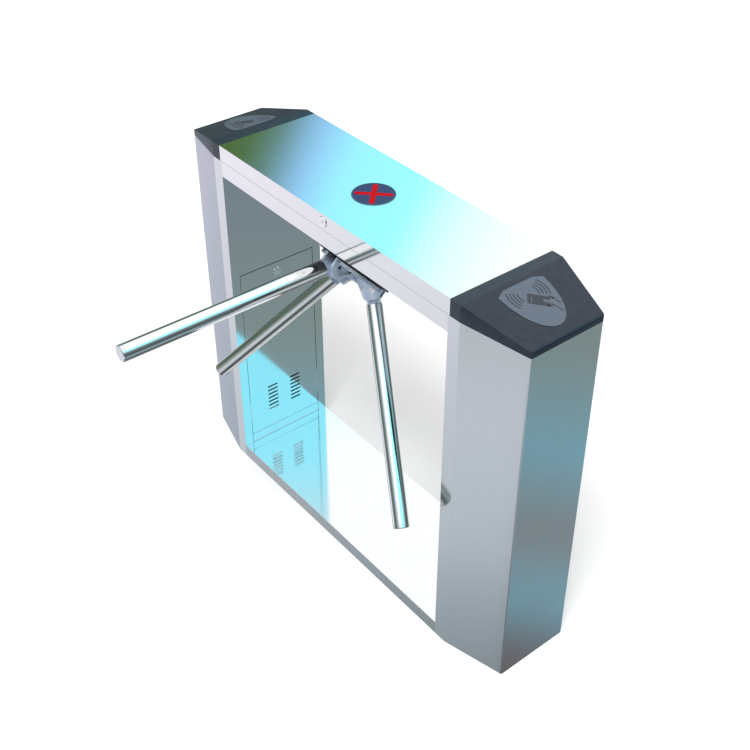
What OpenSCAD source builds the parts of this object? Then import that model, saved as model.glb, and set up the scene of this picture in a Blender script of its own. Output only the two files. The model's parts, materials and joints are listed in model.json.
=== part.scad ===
// Bridge turnstile with three folding arms
// A sheet steel bridge stands on two hollow legs, and a tripod rotor hangs under its middle.
// Frame: origin on the floor under the middle of the cabinet, X along the cabinet, Z up.
// The arms stand out over the passage on the -Y side. "Near" is the +X end, "far" the -X end.
// Millimetres throughout.

/* [Cabinet] */
// Length of the cabinet over both noses
cabinet_l = 1200; // [1150:1:1300]
// Width across the straight sides
cabinet_w = 280; // [272:1:310]
// Height of the lid above the floor
cabinet_h = 980; // [960:1:1030]
// Length of each chamfer, along the cabinet
chamfer_run = 157; // [145:1:170]
// Width of each flat nose
nose_w = 200; // [180:1:225]
// Length of each leg, from the arch to the nose
leg_l = 191; // [187:1:200]
// Height of the bridge from its underside to the top of the lid
bridge_h = 82; // [78:1:90]
// Height of the base rail between the legs
rail_h = 37; // [30:1:44]
// Thickness of the cabinet's steel sheet
sheet_t = 2; // [1.5:0.1:2.4]
// Outside radius of the sheet's bends
bend_r = 5; // [3:0.5:8]
// Width of the opening in each leg's inner face
doorway_w = 230; // [224:1:238]
// Height of the header between that opening and the bridge's underside
header_h = 28; // [14:1:50]
// Height of the seam between access door and upper panel
door_seam = 600; // [560:1:640]
// Height of the seam between kick plate and access door
kick_seam = 66; // [60:1:80]

/* [Lid] */
// Height of the lid's skirt
skirt_h = 40; // [38:1:44]
// How far the lid reaches over each leg
lid_overlap = 4; // [3:0.5:6]
// Width of the seams round lid, doors and panels
seam = 1.5; // [1:0.1:2]
// Radius of the hinge's barrel
barrel_r = 2.8; // [2.4:0.1:2.9]
// Width of each hinge leaf
leaf_w = 26; // [20:1:32]
// Number of knuckles along the hinge
knuckles = 11; // [7:2:15]

/* [Reader caps] */
// Wall of the moulded cap
cap_t = 3; // [2:0.1:4]
// Drop of the cap's top at the nose, below the lid
slope_drop = 41; // [32:1:44]
// Height of the cap's skirt at the nose
nose_skirt_h = 15; // [13:1:20]
// Radius of the lip at the nose
lip_r = 8; // [4:0.5:8]
// Length of the card plaque, down the slope
plaque_l = 125; // [110:1:130]
// Width of the card plaque
plaque_w = 124; // [90:1:140]
// Thickness of the card plaque
plaque_t = 1.2; // [0.8:0.1:2]

/* [Indicator] */
// Radius of the round indicator's bezel
bezel_r = 50; // [44:0.5:54]
// Length of each bar of the cross
bar_l = 86; // [70:1:88]
// Width of each bar of the cross
bar_w = 12; // [8:0.5:14]

/* [Tripod] */
// Place of the point where the arms' centre lines meet, along the cabinet
apex_x = -13; // [-40:1:40]
// Place of that point across the cabinet
apex_y = -7.2; // [-12:0.1:-2]
// Drop of that point, and so of the level arm, below the top of the lid
apex_drop = 147.5; // [145:0.5:150]
// Slope of the rotor's axis below level, in degrees
axis_tilt = 42.5; // [42:0.1:43]
// Angle between each arm and the rotor's axis, in degrees
arm_cone = 42.5; // [42:0.1:43]
// Reach of each arm from the meeting point to its tip
arm_reach = 635; // [560:1:650]
// Radius of the arm tube
tube_r = 19; // [16:0.5:19.5]
// Wall of the arm tube
tube_t = 1.5; // [1:0.1:2.5]
// Length of the cap on the arm's tip
tip_l = 8; // [5:0.5:12]
// Distance of each pivot pin from the meeting point
pin_reach = 97; // [96:0.1:98]
// Radius of the pivot pins
pin_r = 6.5; // [5:0.1:7]
// Distance from the pivot pin to the start of the tube
tube_start = 31.5; // [31:0.1:36]
// Gap between the two ears of a clevis
clevis_gap = 30; // [26:0.5:31]
// Thickness of each clevis ear
ear_t = 7; // [5:0.5:8]
// Radius of the rotor's disc
disc_r = 86; // [84:0.5:88]
// Thickness of the rotor's disc
disc_t = 9; // [7:0.5:10]
// Radius of the rotor's middle boss
boss_r = 33; // [30:0.5:34]
// Radius of the main shaft
shaft_r = 12.5; // [10:0.1:14]

/* [Mechanism] */
// Half the width of the mechanism housing
housing_half = 97; // [95:0.5:105]
// Wall of the mechanism housing
housing_t = 3; // [2:0.5:4]
// Outside radius of the bearings
bearing_r = 23.5; // [21:0.5:26]
// Width of the bearings
bearing_w = 12; // [10:0.5:14]
// Module of the gears
gear_module = 2; // [1.9:0.05:2.05]
// Teeth on the drive gear, a number that leaves half a tooth at each quarter turn
gear_teeth = 42; // [42]
// Teeth on the damper's pinion
pinion_teeth = 14; // [14]
// Width of the gears
gear_w = 10; // [6:0.5:11]
// Radius of the index wheel
index_r = 36; // [34:0.5:36.5]
// Notches round the index wheel
notches = 12; // [12]
// How far a locking pawl swings into its notch, in degrees
pawl_swing = 10.5; // [10:0.1:11]

/* [Locks] */
// Radius of a cam lock's front ring
lock_ring_r = 13; // [11:0.5:14]
// Radius of a cam lock's turning plug
lock_plug_r = 6; // [4:0.1:7]
// Length of a cam lock's cam from its axis
cam_l = 30; // [26:1:32]

/* [Fixings] */
// Radius of the floor anchor holes
anchor_hole_r = 7; // [5:0.5:8]
// Distance between anchor holes along the cabinet
anchor_gap_x = 90; // [80:1:100]
// Distance between anchor holes across the cabinet
anchor_gap_y = 150; // [130:1:160]
// Thickness of the foot flanges
foot_t = 5; // [4:0.5:8]

/* [Hidden] */
$fn = 48;

// Overrun of every cut
cut = 1;
// Clearances: turning fit, side play, fixed fit and the gap between seated shells
run_fit = 0.05;
side_play = 0.05;
fixed_fit = 0.02;
seat_gap = 0.2;
// Steps in each rounded corner of an outline
corner_steps = 5;

// Heights and lengths that follow from the cabinet
bridge_z = cabinet_h - bridge_h;
nose_top = cabinet_h - slope_drop;
nose_seam = nose_top - nose_skirt_h;
doorway_top = bridge_z - header_h;
apex_z = cabinet_h - apex_drop;
skirt_z = cabinet_h - skirt_h;
channel_top = skirt_z - seam / 3;
half_w = cabinet_w / 2;
leg_x = cabinet_l / 2 - leg_l;
arch_l = 2 * leg_x;
side_x = cabinet_l / 2 - chamfer_run;
lid_half = leg_x + lid_overlap;
chamfer_drop = (cabinet_w - nose_w) / 2;
chamfer_turn = atan2(chamfer_drop, chamfer_run);
slope_turn = atan2(slope_drop, chamfer_run);

// Panels in the leg's inner face, measured back from that face
panel_set = 0.5;
panel_t = 1.5;
panel_half = doorway_w / 2 - seam;
fold_l = 14;
backing_overlap = 13;

// Door hinge pins, behind the panel and beside its hinged edge
hinge_back = 6.5;
hinge_edge = 6.5;
hinge_pin_r = 3;
hinge_y = panel_half - hinge_edge;
hinge_collar_r = 5;
hinge_shelf_t = 3;
hinge_shelf_edge = 8;
hinge_pin_l = 6;

// Louvres in the access doors
louvre_l = 33;
louvre_h = 5;
louvre_pitch = 13;
louvre_rows = 7;
louvre_y = 37.5;
louvre_z = 127;
blade_t = 1;
blade_w = 9;

// Cam locks
lock_ring_t = 2;
lock_barrel_r = 9.5;
lock_barrel_l = 16;
lock_cam_t = 2.5;
lock_cam_w = 14;
lock_slot_w = 2;
lock_slot_l = 8;
lock_slot_depth = 3;
door_lock_drop = 30;
door_lock_z = door_seam - door_lock_drop;
lid_lock_z = skirt_z + skirt_h * 0.525;

// Lid hinge axis, inside the back top edge
hinge_axis_y = half_w - sheet_t - sheet_t * 1.5;
hinge_axis_z = cabinet_h - sheet_t - sheet_t * 1.5;
leaf_t = 1;
leaf_relief = 0.5;
hinge_wire_r = 1.2;
hinge_inset = 20;
back_wall_gap = 7.5;
knuckle_gap = 0.3;

// Reader cap details
cap_x = lid_half + seam / 4;
cap_lip_t = 2.5;
cap_lip_h = 10;
ridge_r = 6;
plaque_start = 12;
plaque_top_share = 0.33;
plaque_shoulder = 10.5;
plaque_steps = 8;
board_t = 1.6;
board_l = 90;
board_w = 80;
board_drop = 9;
post_r = 3;

// Indicator stack, down from the lid
bezel_t = 1.2;
bezel_w = 2.6;
bezel_sleeve_t = 1.5;
bezel_sleeve_h = 9;
lens_t = 5;
lens_drop = 0.4;
bar_t = 3;
light_board_t = 2;

// Bridge channel details
flange_w = 24;
catch_w = 9;
catch_x = 12;
catch_t = 2;
catch_gap = 1.5;
mouth_margin = 8;

// Rotor, along its axis from the meeting point
disc_back = 56;
boss_front = 78;
plate_gap = 0.5;
plate_t = 8;
plate_r = 95;
plate_bore_r = 30;
pin_rho = pin_reach * sin(arm_cone);
pin_s = pin_reach * cos(arm_cone);
tongue_t = 28;
spigot_l = 40;
spigot_r = tube_r - tube_t - seat_gap;
collar_l = 3;
tip_plug_l = 20;
tip_round = 1.5;
pin_recess = 0.5;
pin_wall = 2;
ear_half = clevis_gap / 2 + ear_t;
ear_foot_rho = 24;
ear_peak_rho = 63;
ear_shoulder_rho = 72;
ear_brow_rho = 82;
ear_edge_rho = 87;
ear_foot_s = 73;
ear_peak_s = 99;
ear_shoulder_s = 95;
ear_brow_s = 87;
ear_edge_s = 80;
ear_corner_r = 3;
disc_edge_r = 2;
boss_edge_r = 4;
hub_spigot_r = 20;
hub_spigot_l = 5;
shaft_end = 70;

// Mechanism frame, along the axis: front wall of the housing, then the block behind it
wall_front = disc_back - plate_gap - plate_t;
wall_back = wall_front - housing_t;
block_flange_t = 6;
block_flange_r = 62;
block_r = 34;
block_bore_r = 16;
back_plate_t = 6;
back_plate_half = 84;
back_plate_low = 78;
back_plate_high = 82;
back_plate_r = 12;
housing_low = 95;
housing_back = 118;
housing_flange = 12;
bolt_circle_r = 50;
bolt_r = 3;
bolt_head_r = 5;
bolt_head_h = 4;
bearing_bore_r = shaft_r + run_fit;
bearing_groove = 0.8;
bearing_race = 3.5;
index_s = -12;
index_w = 8;
notch_depth = 6;
notch_w = 8;
gear_s = -26;
gear_centre = gear_module * (gear_teeth + pinion_teeth) / 2;
gear_turn = 25;
gear_slack = 0.12;
flank_steps = 4;
sensor_s = -32;
sensor_t = 1.5;
sensor_r = 34;
sensor_slot_w = 4;
nut_s = -40;
nut_w = 7;
nut_r = 20;
damper_r = 18;
damper_l = 15;
pinion_shaft_r = 4;
pinion_shaft_l = 13;

// Locking pawls and their solenoids, in the plane across the axis
pawl_x = 44;
pawl_u = 36;
pawl_pin_r = 5;
pawl_boss_r = 9;
pawl_tail = 30;
pawl_nose_x = 31;
pawl_nose_half = 2.5;
pawl_heel_x = 38;
pawl_w = 7;
link_pin_r = 2.5;
link_pin_l = 5;
link_play = 0.15;
link_t = 3;
link_gap = 0.5;
link_half = 7;
solenoid_start = 3;
solenoid_l = 28;
solenoid_w = 26;
solenoid_h = 28;
solenoid_round = 3;
plunger_r = 4;
plunger_in = 20;
sensor_plate_x = -70;
sensor_plate_l = 40;
sensor_plate_w = 36;
sensor_plate_u = -12;
sensor_post_s = -38;
sensor_eye_r = 3;
sensor_eye_l = 4;

// Equipment in the legs
psu_w = 98;
psu_h = 160;
psu_t = 42;
psu_z = 260;
psu_fin_t = 3;
psu_fin_h = 4;
psu_fins = 8;
control_w = 140;
control_h = 200;
control_z = 260;
control_stand = 10;
relay_w = 16;
relay_h = 20;
relay_t = 15;
relays = 4;
foot_ring_w = 60;
foot_set = 12;
foot_x = leg_x + foot_set;
anchor_set = 71;
anchor_x = leg_x + anchor_set;
rail_ribs = 3;
rib_t = 3;

// Plain geometry helpers

// A box between two opposite corners
module box(low, high) {
    translate(low) cube(high - low);
}

// A profile of (Y, Z) points drawn out along X
module along_x(start, end) {
    translate([start, 0, 0]) rotate([90, 0, 90]) linear_extrude(end - start) children();
}

// A profile of (X, Z) points drawn out along Y
module along_y(start, end) {
    translate([0, end, 0]) rotate([90, 0, 0]) linear_extrude(end - start) children();
}

function unit(v) = v / norm(v);

function turned(v, a) = [v[0] * cos(a) - v[1] * sin(a), v[0] * sin(a) + v[1] * cos(a)];

// Points that round the corner b, between its neighbours a and c, to the radius r
function corner_arc(a, b, c, r) =
    let (
        u = unit(a - b),
        v = unit(c - b),
        half = acos(u * v) / 2,
        centre = b + unit(u + v) * r / sin(half),
        start = b + u * r / tan(half) - centre,
        turn = (180 - 2 * half) * sign(cross(b - a, c - b))
    )
    [for (i = [0:corner_steps]) centre + turned(start, turn * i / corner_steps)];

// A closed outline with each corner rounded to its own radius
function rounded(points, radii) =
    let (n = len(points))
    [
        for (i = [0:n - 1])
            each radii[i] > 0
                ? corner_arc(points[(i + n - 1) % n], points[i], points[(i + 1) % n], radii[i])
                : [points[i]]
    ];

// Draws its children at the near end, or mirrored to the far end
module at_end(far) {
    if (far) {
        mirror([1, 0, 0]) children();
    } else {
        children();
    }
}

// Cabinet outline in plan at one end, from start_x to the nose, drawn in by the distance d
function end_plan(start_x, d) =
    let (
        y = half_w - d,
        crease_x = side_x - d * tan(chamfer_turn / 2),
        nose_x = cabinet_l / 2 - d,
        nose_y = nose_w / 2 - d * tan((90 - chamfer_turn) / 2),
        r = max(bend_r - d, bend_r / 4)
    )
    rounded(
        [[start_x, -y], [crease_x, -y], [nose_x, -nose_y], [nose_x, nose_y], [crease_x, y], [start_x, y]],
        [0, r, r, r, r, 0]
    );

// Side view of the seam between leg and cap, and of everything above it
module above_seam(drop) {
    along_y(-cabinet_w, cabinet_w) polygon([
        [0, channel_top - drop],
        [side_x, channel_top - drop],
        [cabinet_l / 2, nose_seam - drop],
        [cabinet_l, nose_seam - drop],
        [cabinet_l, cabinet_h + bridge_h],
        [0, cabinet_h + bridge_h]
    ]);
}

// Legs, rail and feet

// The folded wrap of one leg: sides, chamfers, nose and the narrow returns beside the doorway
module leg_shell() {
    difference() {
        linear_extrude(channel_top) polygon(end_plan(leg_x, 0));
        translate([0, 0, -cut]) linear_extrude(channel_top + 2 * cut)
            polygon(end_plan(leg_x + sheet_t, sheet_t));
        box([leg_x - cut, -doorway_w / 2, -cut], [leg_x + sheet_t + cut, doorway_w / 2, doorway_top]);
        box(
            [leg_x - cut, -half_w + sheet_t, bridge_z],
            [leg_x + sheet_t + cut, half_w - sheet_t, channel_top + cut]
        );
        above_seam(0);
    }
}

module near_leg_shell() {
    color("lightsteelblue") leg_shell();
}

module far_leg_shell() {
    color("lightsteelblue") at_end(true) leg_shell();
}

// The rail between the legs: an inverted channel with cross ribs under its plate
module base_rail() {
    color("gainsboro") {
        along_x(-leg_x, leg_x) polygon([
            [-half_w, 0],
            [-half_w, rail_h],
            [half_w, rail_h],
            [half_w, 0],
            [half_w - sheet_t, 0],
            [half_w - sheet_t, rail_h - sheet_t],
            [-half_w + sheet_t, rail_h - sheet_t],
            [-half_w + sheet_t, 0]
        ]);
        for (i = [1:rail_ribs])
            translate([arch_l * (i / (rail_ribs + 1) - 0.5) - rib_t / 2, -half_w + sheet_t, 0])
                cube([rib_t, cabinet_w - 2 * sheet_t, rail_h - sheet_t]);
    }
}

// A panel in the doorway with a backing sheet that seats behind the leg's returns
module doorway_panel(low, high, back_low, back_high) {
    box([leg_x + panel_set, -panel_half, low], [leg_x + sheet_t, panel_half, high]);
    box(
        [leg_x + sheet_t, -doorway_w / 2 - backing_overlap, back_low],
        [leg_x + sheet_t + panel_t, doorway_w / 2 + backing_overlap, back_high]
    );
}

// The fixed panel above the door, with the lower fold that the door's cam hooks behind
module upper_panel() {
    low = door_seam + seam / 3;
    difference() {
        doorway_panel(low, doorway_top - seam, low, doorway_top + backing_overlap);
        box(
            [leg_x + sheet_t, hinge_y - lock_cam_w, low - cut],
            [leg_x + sheet_t + panel_t + cut, half_w, low + panel_t]
        );
    }
    box([leg_x + panel_set, -panel_half, low], [leg_x + panel_set + fold_l, panel_half, low + panel_t]);
    translate([leg_x + hinge_back, hinge_y, low - hinge_pin_l])
        cylinder(r = hinge_pin_r, h = hinge_pin_l + cut);
}

module near_upper_panel() {
    color("slategray") upper_panel();
}

module far_upper_panel() {
    color("slategray") at_end(true) upper_panel();
}

// The foot: a floor flange open in the middle, a kick plate and the door's lower pivot
module foot() {
    shelf_z = kick_seam - 1.5 * hinge_shelf_t;
    difference() {
        linear_extrude(foot_t) polygon(end_plan(foot_x, sheet_t + seat_gap));
        intersection() {
            translate([0, 0, -cut]) linear_extrude(foot_t + 2 * cut)
                polygon(end_plan(leg_x, sheet_t + foot_ring_w));
            box([foot_x + foot_ring_w / 2, -half_w, -cut], [cabinet_l, half_w, foot_t + cut]);
        }
        for (x = [-1, 1], y = [-1, 1])
            translate([anchor_x + x * anchor_gap_x / 2, y * anchor_gap_y / 2, -cut])
                cylinder(r = anchor_hole_r, h = foot_t + 2 * cut);
    }
    doorway_panel(0, kick_seam - seam / 3, 0, kick_seam - 2 * hinge_shelf_t);
    box([leg_x + sheet_t, -panel_half, 0], [foot_x + foot_t, panel_half, foot_t]);
    box(
        [leg_x + panel_set, hinge_y - 2 * hinge_collar_r, shelf_z - hinge_shelf_t],
        [leg_x + hinge_back + hinge_shelf_edge, panel_half, shelf_z]
    );
    translate([leg_x + hinge_back, hinge_y, shelf_z]) {
        cylinder(r = hinge_collar_r, h = kick_seam + seam / 3 - shelf_z - side_play);
        cylinder(r = hinge_pin_r, h = kick_seam + seam / 3 - shelf_z + hinge_pin_l);
    }
}

module near_foot() {
    color("silver") foot();
}

module far_foot() {
    color("silver") at_end(true) foot();
}

// Access doors with their locks

// The door's sheet: a pan with folded edges, two banks of louvres and a hole for the lock
module door() {
    low = kick_seam + seam / 3;
    high = door_seam - seam;
    front = leg_x + panel_set;
    back = front + fold_l;
    difference() {
        box([front, -panel_half, low], [back, panel_half, high]);
        box(
            [front + panel_t, -panel_half + panel_t, low + panel_t],
            [back + cut, panel_half - panel_t, high - panel_t]
        );
        for (z = [low - cut, high - panel_t - cut])
            translate([leg_x + hinge_back, hinge_y, z])
                cylinder(r = hinge_pin_r + run_fit, h = panel_t + 2 * cut);
        translate([front - cut, 0, door_lock_z]) rotate([0, 90, 0])
            cylinder(r = lock_barrel_r + fixed_fit, h = panel_t + 2 * cut);
        for (side = [-1, 1], row = [0:louvre_rows - 1])
            translate([front - cut, side * louvre_y, louvre_z + row * louvre_pitch]) louvre_slot();
    }
    for (side = [-1, 1], row = [0:louvre_rows - 1])
        translate([front + panel_t - blade_t / 2, side * louvre_y, louvre_z + row * louvre_pitch + louvre_h])
            louvre_blade();
}

// One louvre's slot, with round ends
module louvre_slot() {
    span = louvre_l - louvre_h;
    for (end = [-1, 1])
        translate([0, end * span / 2, 0]) rotate([0, 90, 0])
            cylinder(r = louvre_h / 2, h = panel_t + 2 * cut);
    translate([0, -span / 2, -louvre_h / 2]) cube([panel_t + 2 * cut, span, louvre_h]);
}

// One louvre's blade, which leans in and down behind its slot
module louvre_blade() {
    rotate([0, 40, 0]) translate([0, -louvre_l / 2, -blade_t]) cube([blade_w, louvre_l, blade_t]);
}

// A cam lock, drawn with its face on the plane z = 0 and its cam behind it
module cam_lock_barrel() {
    difference() {
        union() {
            rotate_extrude() polygon([
                [0, 0],
                [lock_ring_r, 0],
                [lock_ring_r, lock_ring_t / 2],
                [lock_ring_r - lock_ring_t / 2, lock_ring_t],
                [0, lock_ring_t]
            ]);
            translate([0, 0, -lock_barrel_l]) cylinder(r = lock_barrel_r, h = lock_barrel_l);
        }
        translate([0, 0, -lock_barrel_l - cut])
            cylinder(r = lock_plug_r + run_fit, h = lock_barrel_l + lock_ring_t + 2 * cut);
    }
}

// The turning plug with its key slot, and the cam on its inner end, which points along cam_turn
module cam_lock_plug(cam_turn) {
    difference() {
        translate([0, 0, -lock_barrel_l - side_play])
            cylinder(r = lock_plug_r, h = lock_barrel_l + lock_ring_t + side_play);
        translate([-lock_slot_w / 2, -lock_slot_l / 2, lock_ring_t - lock_slot_depth])
            cube([lock_slot_w, lock_slot_l, lock_slot_depth + cut]);
    }
    translate([0, 0, -lock_barrel_l - side_play - lock_cam_t]) {
        cylinder(r = lock_cam_w / 2, h = lock_cam_t);
        rotate([0, 0, cam_turn]) translate([0, -lock_cam_w / 2, 0]) cube([cam_l, lock_cam_w, lock_cam_t]);
    }
}

// Places a lock on the access door of the near leg
module on_door() {
    translate([leg_x + panel_set, 0, door_lock_z]) rotate([90, 0, -90]) children();
}

module near_door() {
    color("lightslategray") door();
}

module far_door() {
    color("lightslategray") at_end(true) door();
}

module near_lock_barrel() {
    color("gainsboro") on_door() cam_lock_barrel();
}

module far_lock_barrel() {
    color("gainsboro") at_end(true) on_door() cam_lock_barrel();
}

module near_lock_plug() {
    color("silver") on_door() cam_lock_plug(0);
}

module far_lock_plug() {
    color("silver") at_end(true) on_door() cam_lock_plug(0);
}

// Bridge and lid

// Mouth of the mechanism housing in the bridge's underside
mouth_low = [apex_x - housing_half + mouth_margin, -half_w + 2 * mouth_margin];
mouth_high = [apex_x + housing_half - mouth_margin, housing_back - mouth_margin];

// The open channel between the legs, with the catch that holds the locked lid
module bridge_channel() {
    catch_z = lid_lock_z + lock_cam_w / 2 + catch_gap;
    cam_y = -half_w + lock_barrel_l + lock_cam_t / 2;
    color("ghostwhite") {
        difference() {
            along_x(-leg_x, leg_x) polygon([
                [-half_w, bridge_z],
                [-half_w, channel_top],
                [-half_w + flange_w, channel_top],
                [-half_w + flange_w, channel_top - sheet_t],
                [-half_w + sheet_t, channel_top - sheet_t],
                [-half_w + sheet_t, bridge_z + sheet_t],
                [half_w - sheet_t, bridge_z + sheet_t],
                [half_w - sheet_t, hinge_axis_z - back_wall_gap],
                [half_w, hinge_axis_z - back_wall_gap],
                [half_w, bridge_z]
            ]);
            box(
                [mouth_low[0], mouth_low[1], bridge_z - cut],
                [mouth_high[0], mouth_high[1], bridge_z + sheet_t + cut]
            );
            box(
                [-lock_cam_w, -half_w + sheet_t, channel_top - sheet_t - cut],
                [cam_l - lock_cam_w / 2, -half_w + flange_w + cut, channel_top + cut]
            );
        }
        box(
            [cam_l + catch_t, cam_y - catch_w / 2, channel_top - sheet_t],
            [cam_l + 2 * catch_t, cam_y + catch_w / 2, catch_z + catch_t]
        );
        box(
            [catch_x, cam_y - catch_w / 2, catch_z],
            [cam_l + 2 * catch_t, cam_y + catch_w / 2, catch_z + catch_t]
        );
    }
}

// The lid: a shallow pan upside down, with holes for indicator and lock
module top_cover() {
    color("powderblue") difference() {
        box([-lid_half, -half_w, skirt_z], [lid_half, half_w, cabinet_h]);
        box(
            [-lid_half + sheet_t, -half_w + sheet_t, skirt_z - cut],
            [lid_half - sheet_t, half_w + cut, cabinet_h - sheet_t]
        );
        box(
            [-lid_half - cut, hinge_axis_y - 2 * leaf_w, skirt_z - cut],
            [lid_half + cut, half_w + cut, cabinet_h - sheet_t]
        );
        translate([0, 0, cabinet_h - sheet_t - cut])
            cylinder(r = bezel_r - bezel_w / 2, h = sheet_t + 2 * cut);
        translate([0, -half_w - cut, lid_lock_z]) rotate([-90, 0, 0])
            cylinder(r = lock_barrel_r + fixed_fit, h = sheet_t + 2 * cut);
    }
}

// Places the knuckles of one leaf: the fixed leaf has the even ones and the lid's leaf the odd ones
hinge_l = 2 * (lid_half - hinge_inset);
knuckle_l = hinge_l / knuckles;

module knuckle_row(first) {
    for (i = [first:2:knuckles - 1])
        translate([-hinge_l / 2 + i * knuckle_l + knuckle_gap / 2, 0, 0]) children();
}

// The fixed leaf on the bridge's back wall, with its knuckles and the hinge wire
module lid_hinge() {
    color("silver") {
        translate([0, hinge_axis_y, hinge_axis_z]) {
            knuckle_row(0) rotate([0, 90, 0]) cylinder(r = barrel_r, h = knuckle_l - knuckle_gap);
            translate([-hinge_l / 2, 0, 0]) rotate([0, 90, 0]) cylinder(r = hinge_wire_r, h = hinge_l);
        }
        box(
            [-hinge_l / 2, half_w - sheet_t - leaf_t, hinge_axis_z - leaf_w],
            [hinge_l / 2, half_w - sheet_t, hinge_axis_z - barrel_r - leaf_relief]
        );
        knuckle_row(0) box(
            [0, half_w - sheet_t - leaf_t, hinge_axis_z - barrel_r - 2 * leaf_relief],
            [knuckle_l - knuckle_gap, half_w - sheet_t, hinge_axis_z]
        );
    }
}

// The lid's leaf under its top sheet, with the knuckles that turn on the wire
module lid_leaf() {
    color("silver") difference() {
        union() {
            box(
                [-hinge_l / 2, hinge_axis_y - leaf_w, cabinet_h - sheet_t - leaf_t],
                [hinge_l / 2, hinge_axis_y - barrel_r - leaf_relief, cabinet_h - sheet_t]
            );
            knuckle_row(1) box(
                [0, hinge_axis_y - barrel_r - 2 * leaf_relief, cabinet_h - sheet_t - leaf_t],
                [knuckle_l - knuckle_gap, hinge_axis_y, cabinet_h - sheet_t]
            );
            translate([0, hinge_axis_y, hinge_axis_z])
                knuckle_row(1) rotate([0, 90, 0]) cylinder(r = barrel_r, h = knuckle_l - knuckle_gap);
        }
        translate([-hinge_l / 2 - cut, hinge_axis_y, hinge_axis_z]) rotate([0, 90, 0])
            cylinder(r = hinge_wire_r + run_fit, h = hinge_l + 2 * cut);
    }
}

// The indicator's thin ring, which hangs in the lid's hole and holds the lens
module indicator_bezel() {
    sleeve_r = bezel_r - bezel_w / 2 - fixed_fit;
    color("midnightblue") translate([0, 0, cabinet_h]) rotate_extrude() polygon([
        [bezel_r - bezel_w, bezel_t],
        [bezel_r - bezel_t / 2, bezel_t],
        [bezel_r, bezel_t / 2],
        [bezel_r, 0],
        [sleeve_r, 0],
        [sleeve_r, -bezel_sleeve_h],
        [sleeve_r - bezel_sleeve_t, -bezel_sleeve_h],
        [sleeve_r - bezel_sleeve_t, bezel_t - lens_drop - lens_t],
        [bezel_r - bezel_w, bezel_t - lens_drop - lens_t]
    ]);
}

// The two crossed light bars, wider by d on each side, between two heights
module light_bars(d, low, high) {
    for (turn = [-45, 45]) rotate([0, 0, turn])
        box([-bar_l / 2 - d, -bar_w / 2 - d, low], [bar_l / 2 + d, bar_w / 2 + d, high]);
}

// The smoked lens in its ring, with a cross-shaped slot for the light bars
module indicator_lens() {
    color("slategray") translate([0, 0, cabinet_h + bezel_t - lens_drop - lens_t]) difference() {
        cylinder(r = bezel_r - bezel_w - fixed_fit, h = lens_t);
        light_bars(fixed_fit, -cut, lens_t + cut);
    }
}

// The light board below the lens, with the light bars that stand up through it
module indicator_lights() {
    top = cabinet_h + bezel_t - lens_drop - lens_t;
    rim_r = bezel_r - bezel_w / 2 - bezel_sleeve_t - seat_gap;
    color("red") {
        translate([0, 0, top]) light_bars(0, -bar_t, lens_t + lens_drop / 2);
        translate([0, 0, top - bar_t - light_board_t]) cylinder(r = rim_r, h = light_board_t);
    }
}

module on_lid_front() {
    translate([0, -half_w, lid_lock_z]) rotate([90, 0, 0]) children();
}

module lid_lock_barrel() {
    color("gainsboro") on_lid_front() cam_lock_barrel();
}

module lid_lock_plug() {
    color("silver") on_lid_front() cam_lock_plug(-90);
}

// Reader caps

// Side view of the cap, drawn down and in by the distance d, with its rounded lip and ridge
function cap_side(d) =
    rounded(
        [
            [cap_x + d, 0],
            [cabinet_l / 2 - d, 0],
            [cabinet_l / 2 - d, nose_top - d + d * slope_drop / chamfer_run],
            [side_x, cabinet_h - d],
            [cap_x + d, cabinet_h - d]
        ],
        [0, 0, lip_r - d, ridge_r, 0]
    );

// A moulded cap over one leg: sloping top, rounded lip, skirt, and a lip that plugs into the leg
module reader_cap() {
    lip_in = sheet_t + seat_gap;
    difference() {
        intersection() {
            translate([0, 0, nose_seam - bridge_h]) linear_extrude(2 * bridge_h + cabinet_h - nose_seam)
                polygon(end_plan(cap_x, 0));
            along_y(-cabinet_w, cabinet_w) polygon(cap_side(0));
            above_seam(0);
        }
        intersection() {
            linear_extrude(cabinet_h) polygon(end_plan(cap_x + cap_t, cap_t));
            along_y(-cabinet_w, cabinet_w) polygon(cap_side(cap_t));
        }
    }
    difference() {
        intersection() {
            linear_extrude(cabinet_h) polygon(end_plan(cap_x + lip_in, lip_in));
            along_y(-cabinet_w, cabinet_w) polygon(cap_side(cap_t / 2));
            above_seam(cap_lip_h);
        }
        linear_extrude(cabinet_h) polygon(end_plan(cap_x + lip_in + cap_lip_t, lip_in + cap_lip_t));
        above_seam(-cap_t);
    }
}

module near_reader_cap() {
    color("darkslategray") reader_cap();
}

module far_reader_cap() {
    color("darkslategray") at_end(true) reader_cap();
}

// Places its children on the cap's slope, with x down the slope and z out of it
module on_slope() {
    translate([side_x, 0, cabinet_h]) rotate([0, slope_turn, 0]) children();
}

// The shield-shaped card plaque on the slope
module card_plaque() {
    flank_l = plaque_l - plaque_shoulder;
    turns = [for (i = [0:plaque_steps - 1]) 90 * i / plaque_steps];
    right = concat(
        [[plaque_start, plaque_w * plaque_top_share]],
        [for (a = turns) [plaque_start + plaque_shoulder + flank_l * sin(a), plaque_w / 2 * cos(a)]]
    );
    left = [for (i = [len(right) - 1:-1:0]) [right[i][0], -right[i][1]]];
    outline = concat(right, [[plaque_start + plaque_l, 0]], left);
    on_slope() linear_extrude(plaque_t) polygon(outline);
}

module near_card_plaque() {
    color("lightslategray") card_plaque();
}

module far_card_plaque() {
    color("lightslategray") at_end(true) card_plaque();
}

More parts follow.
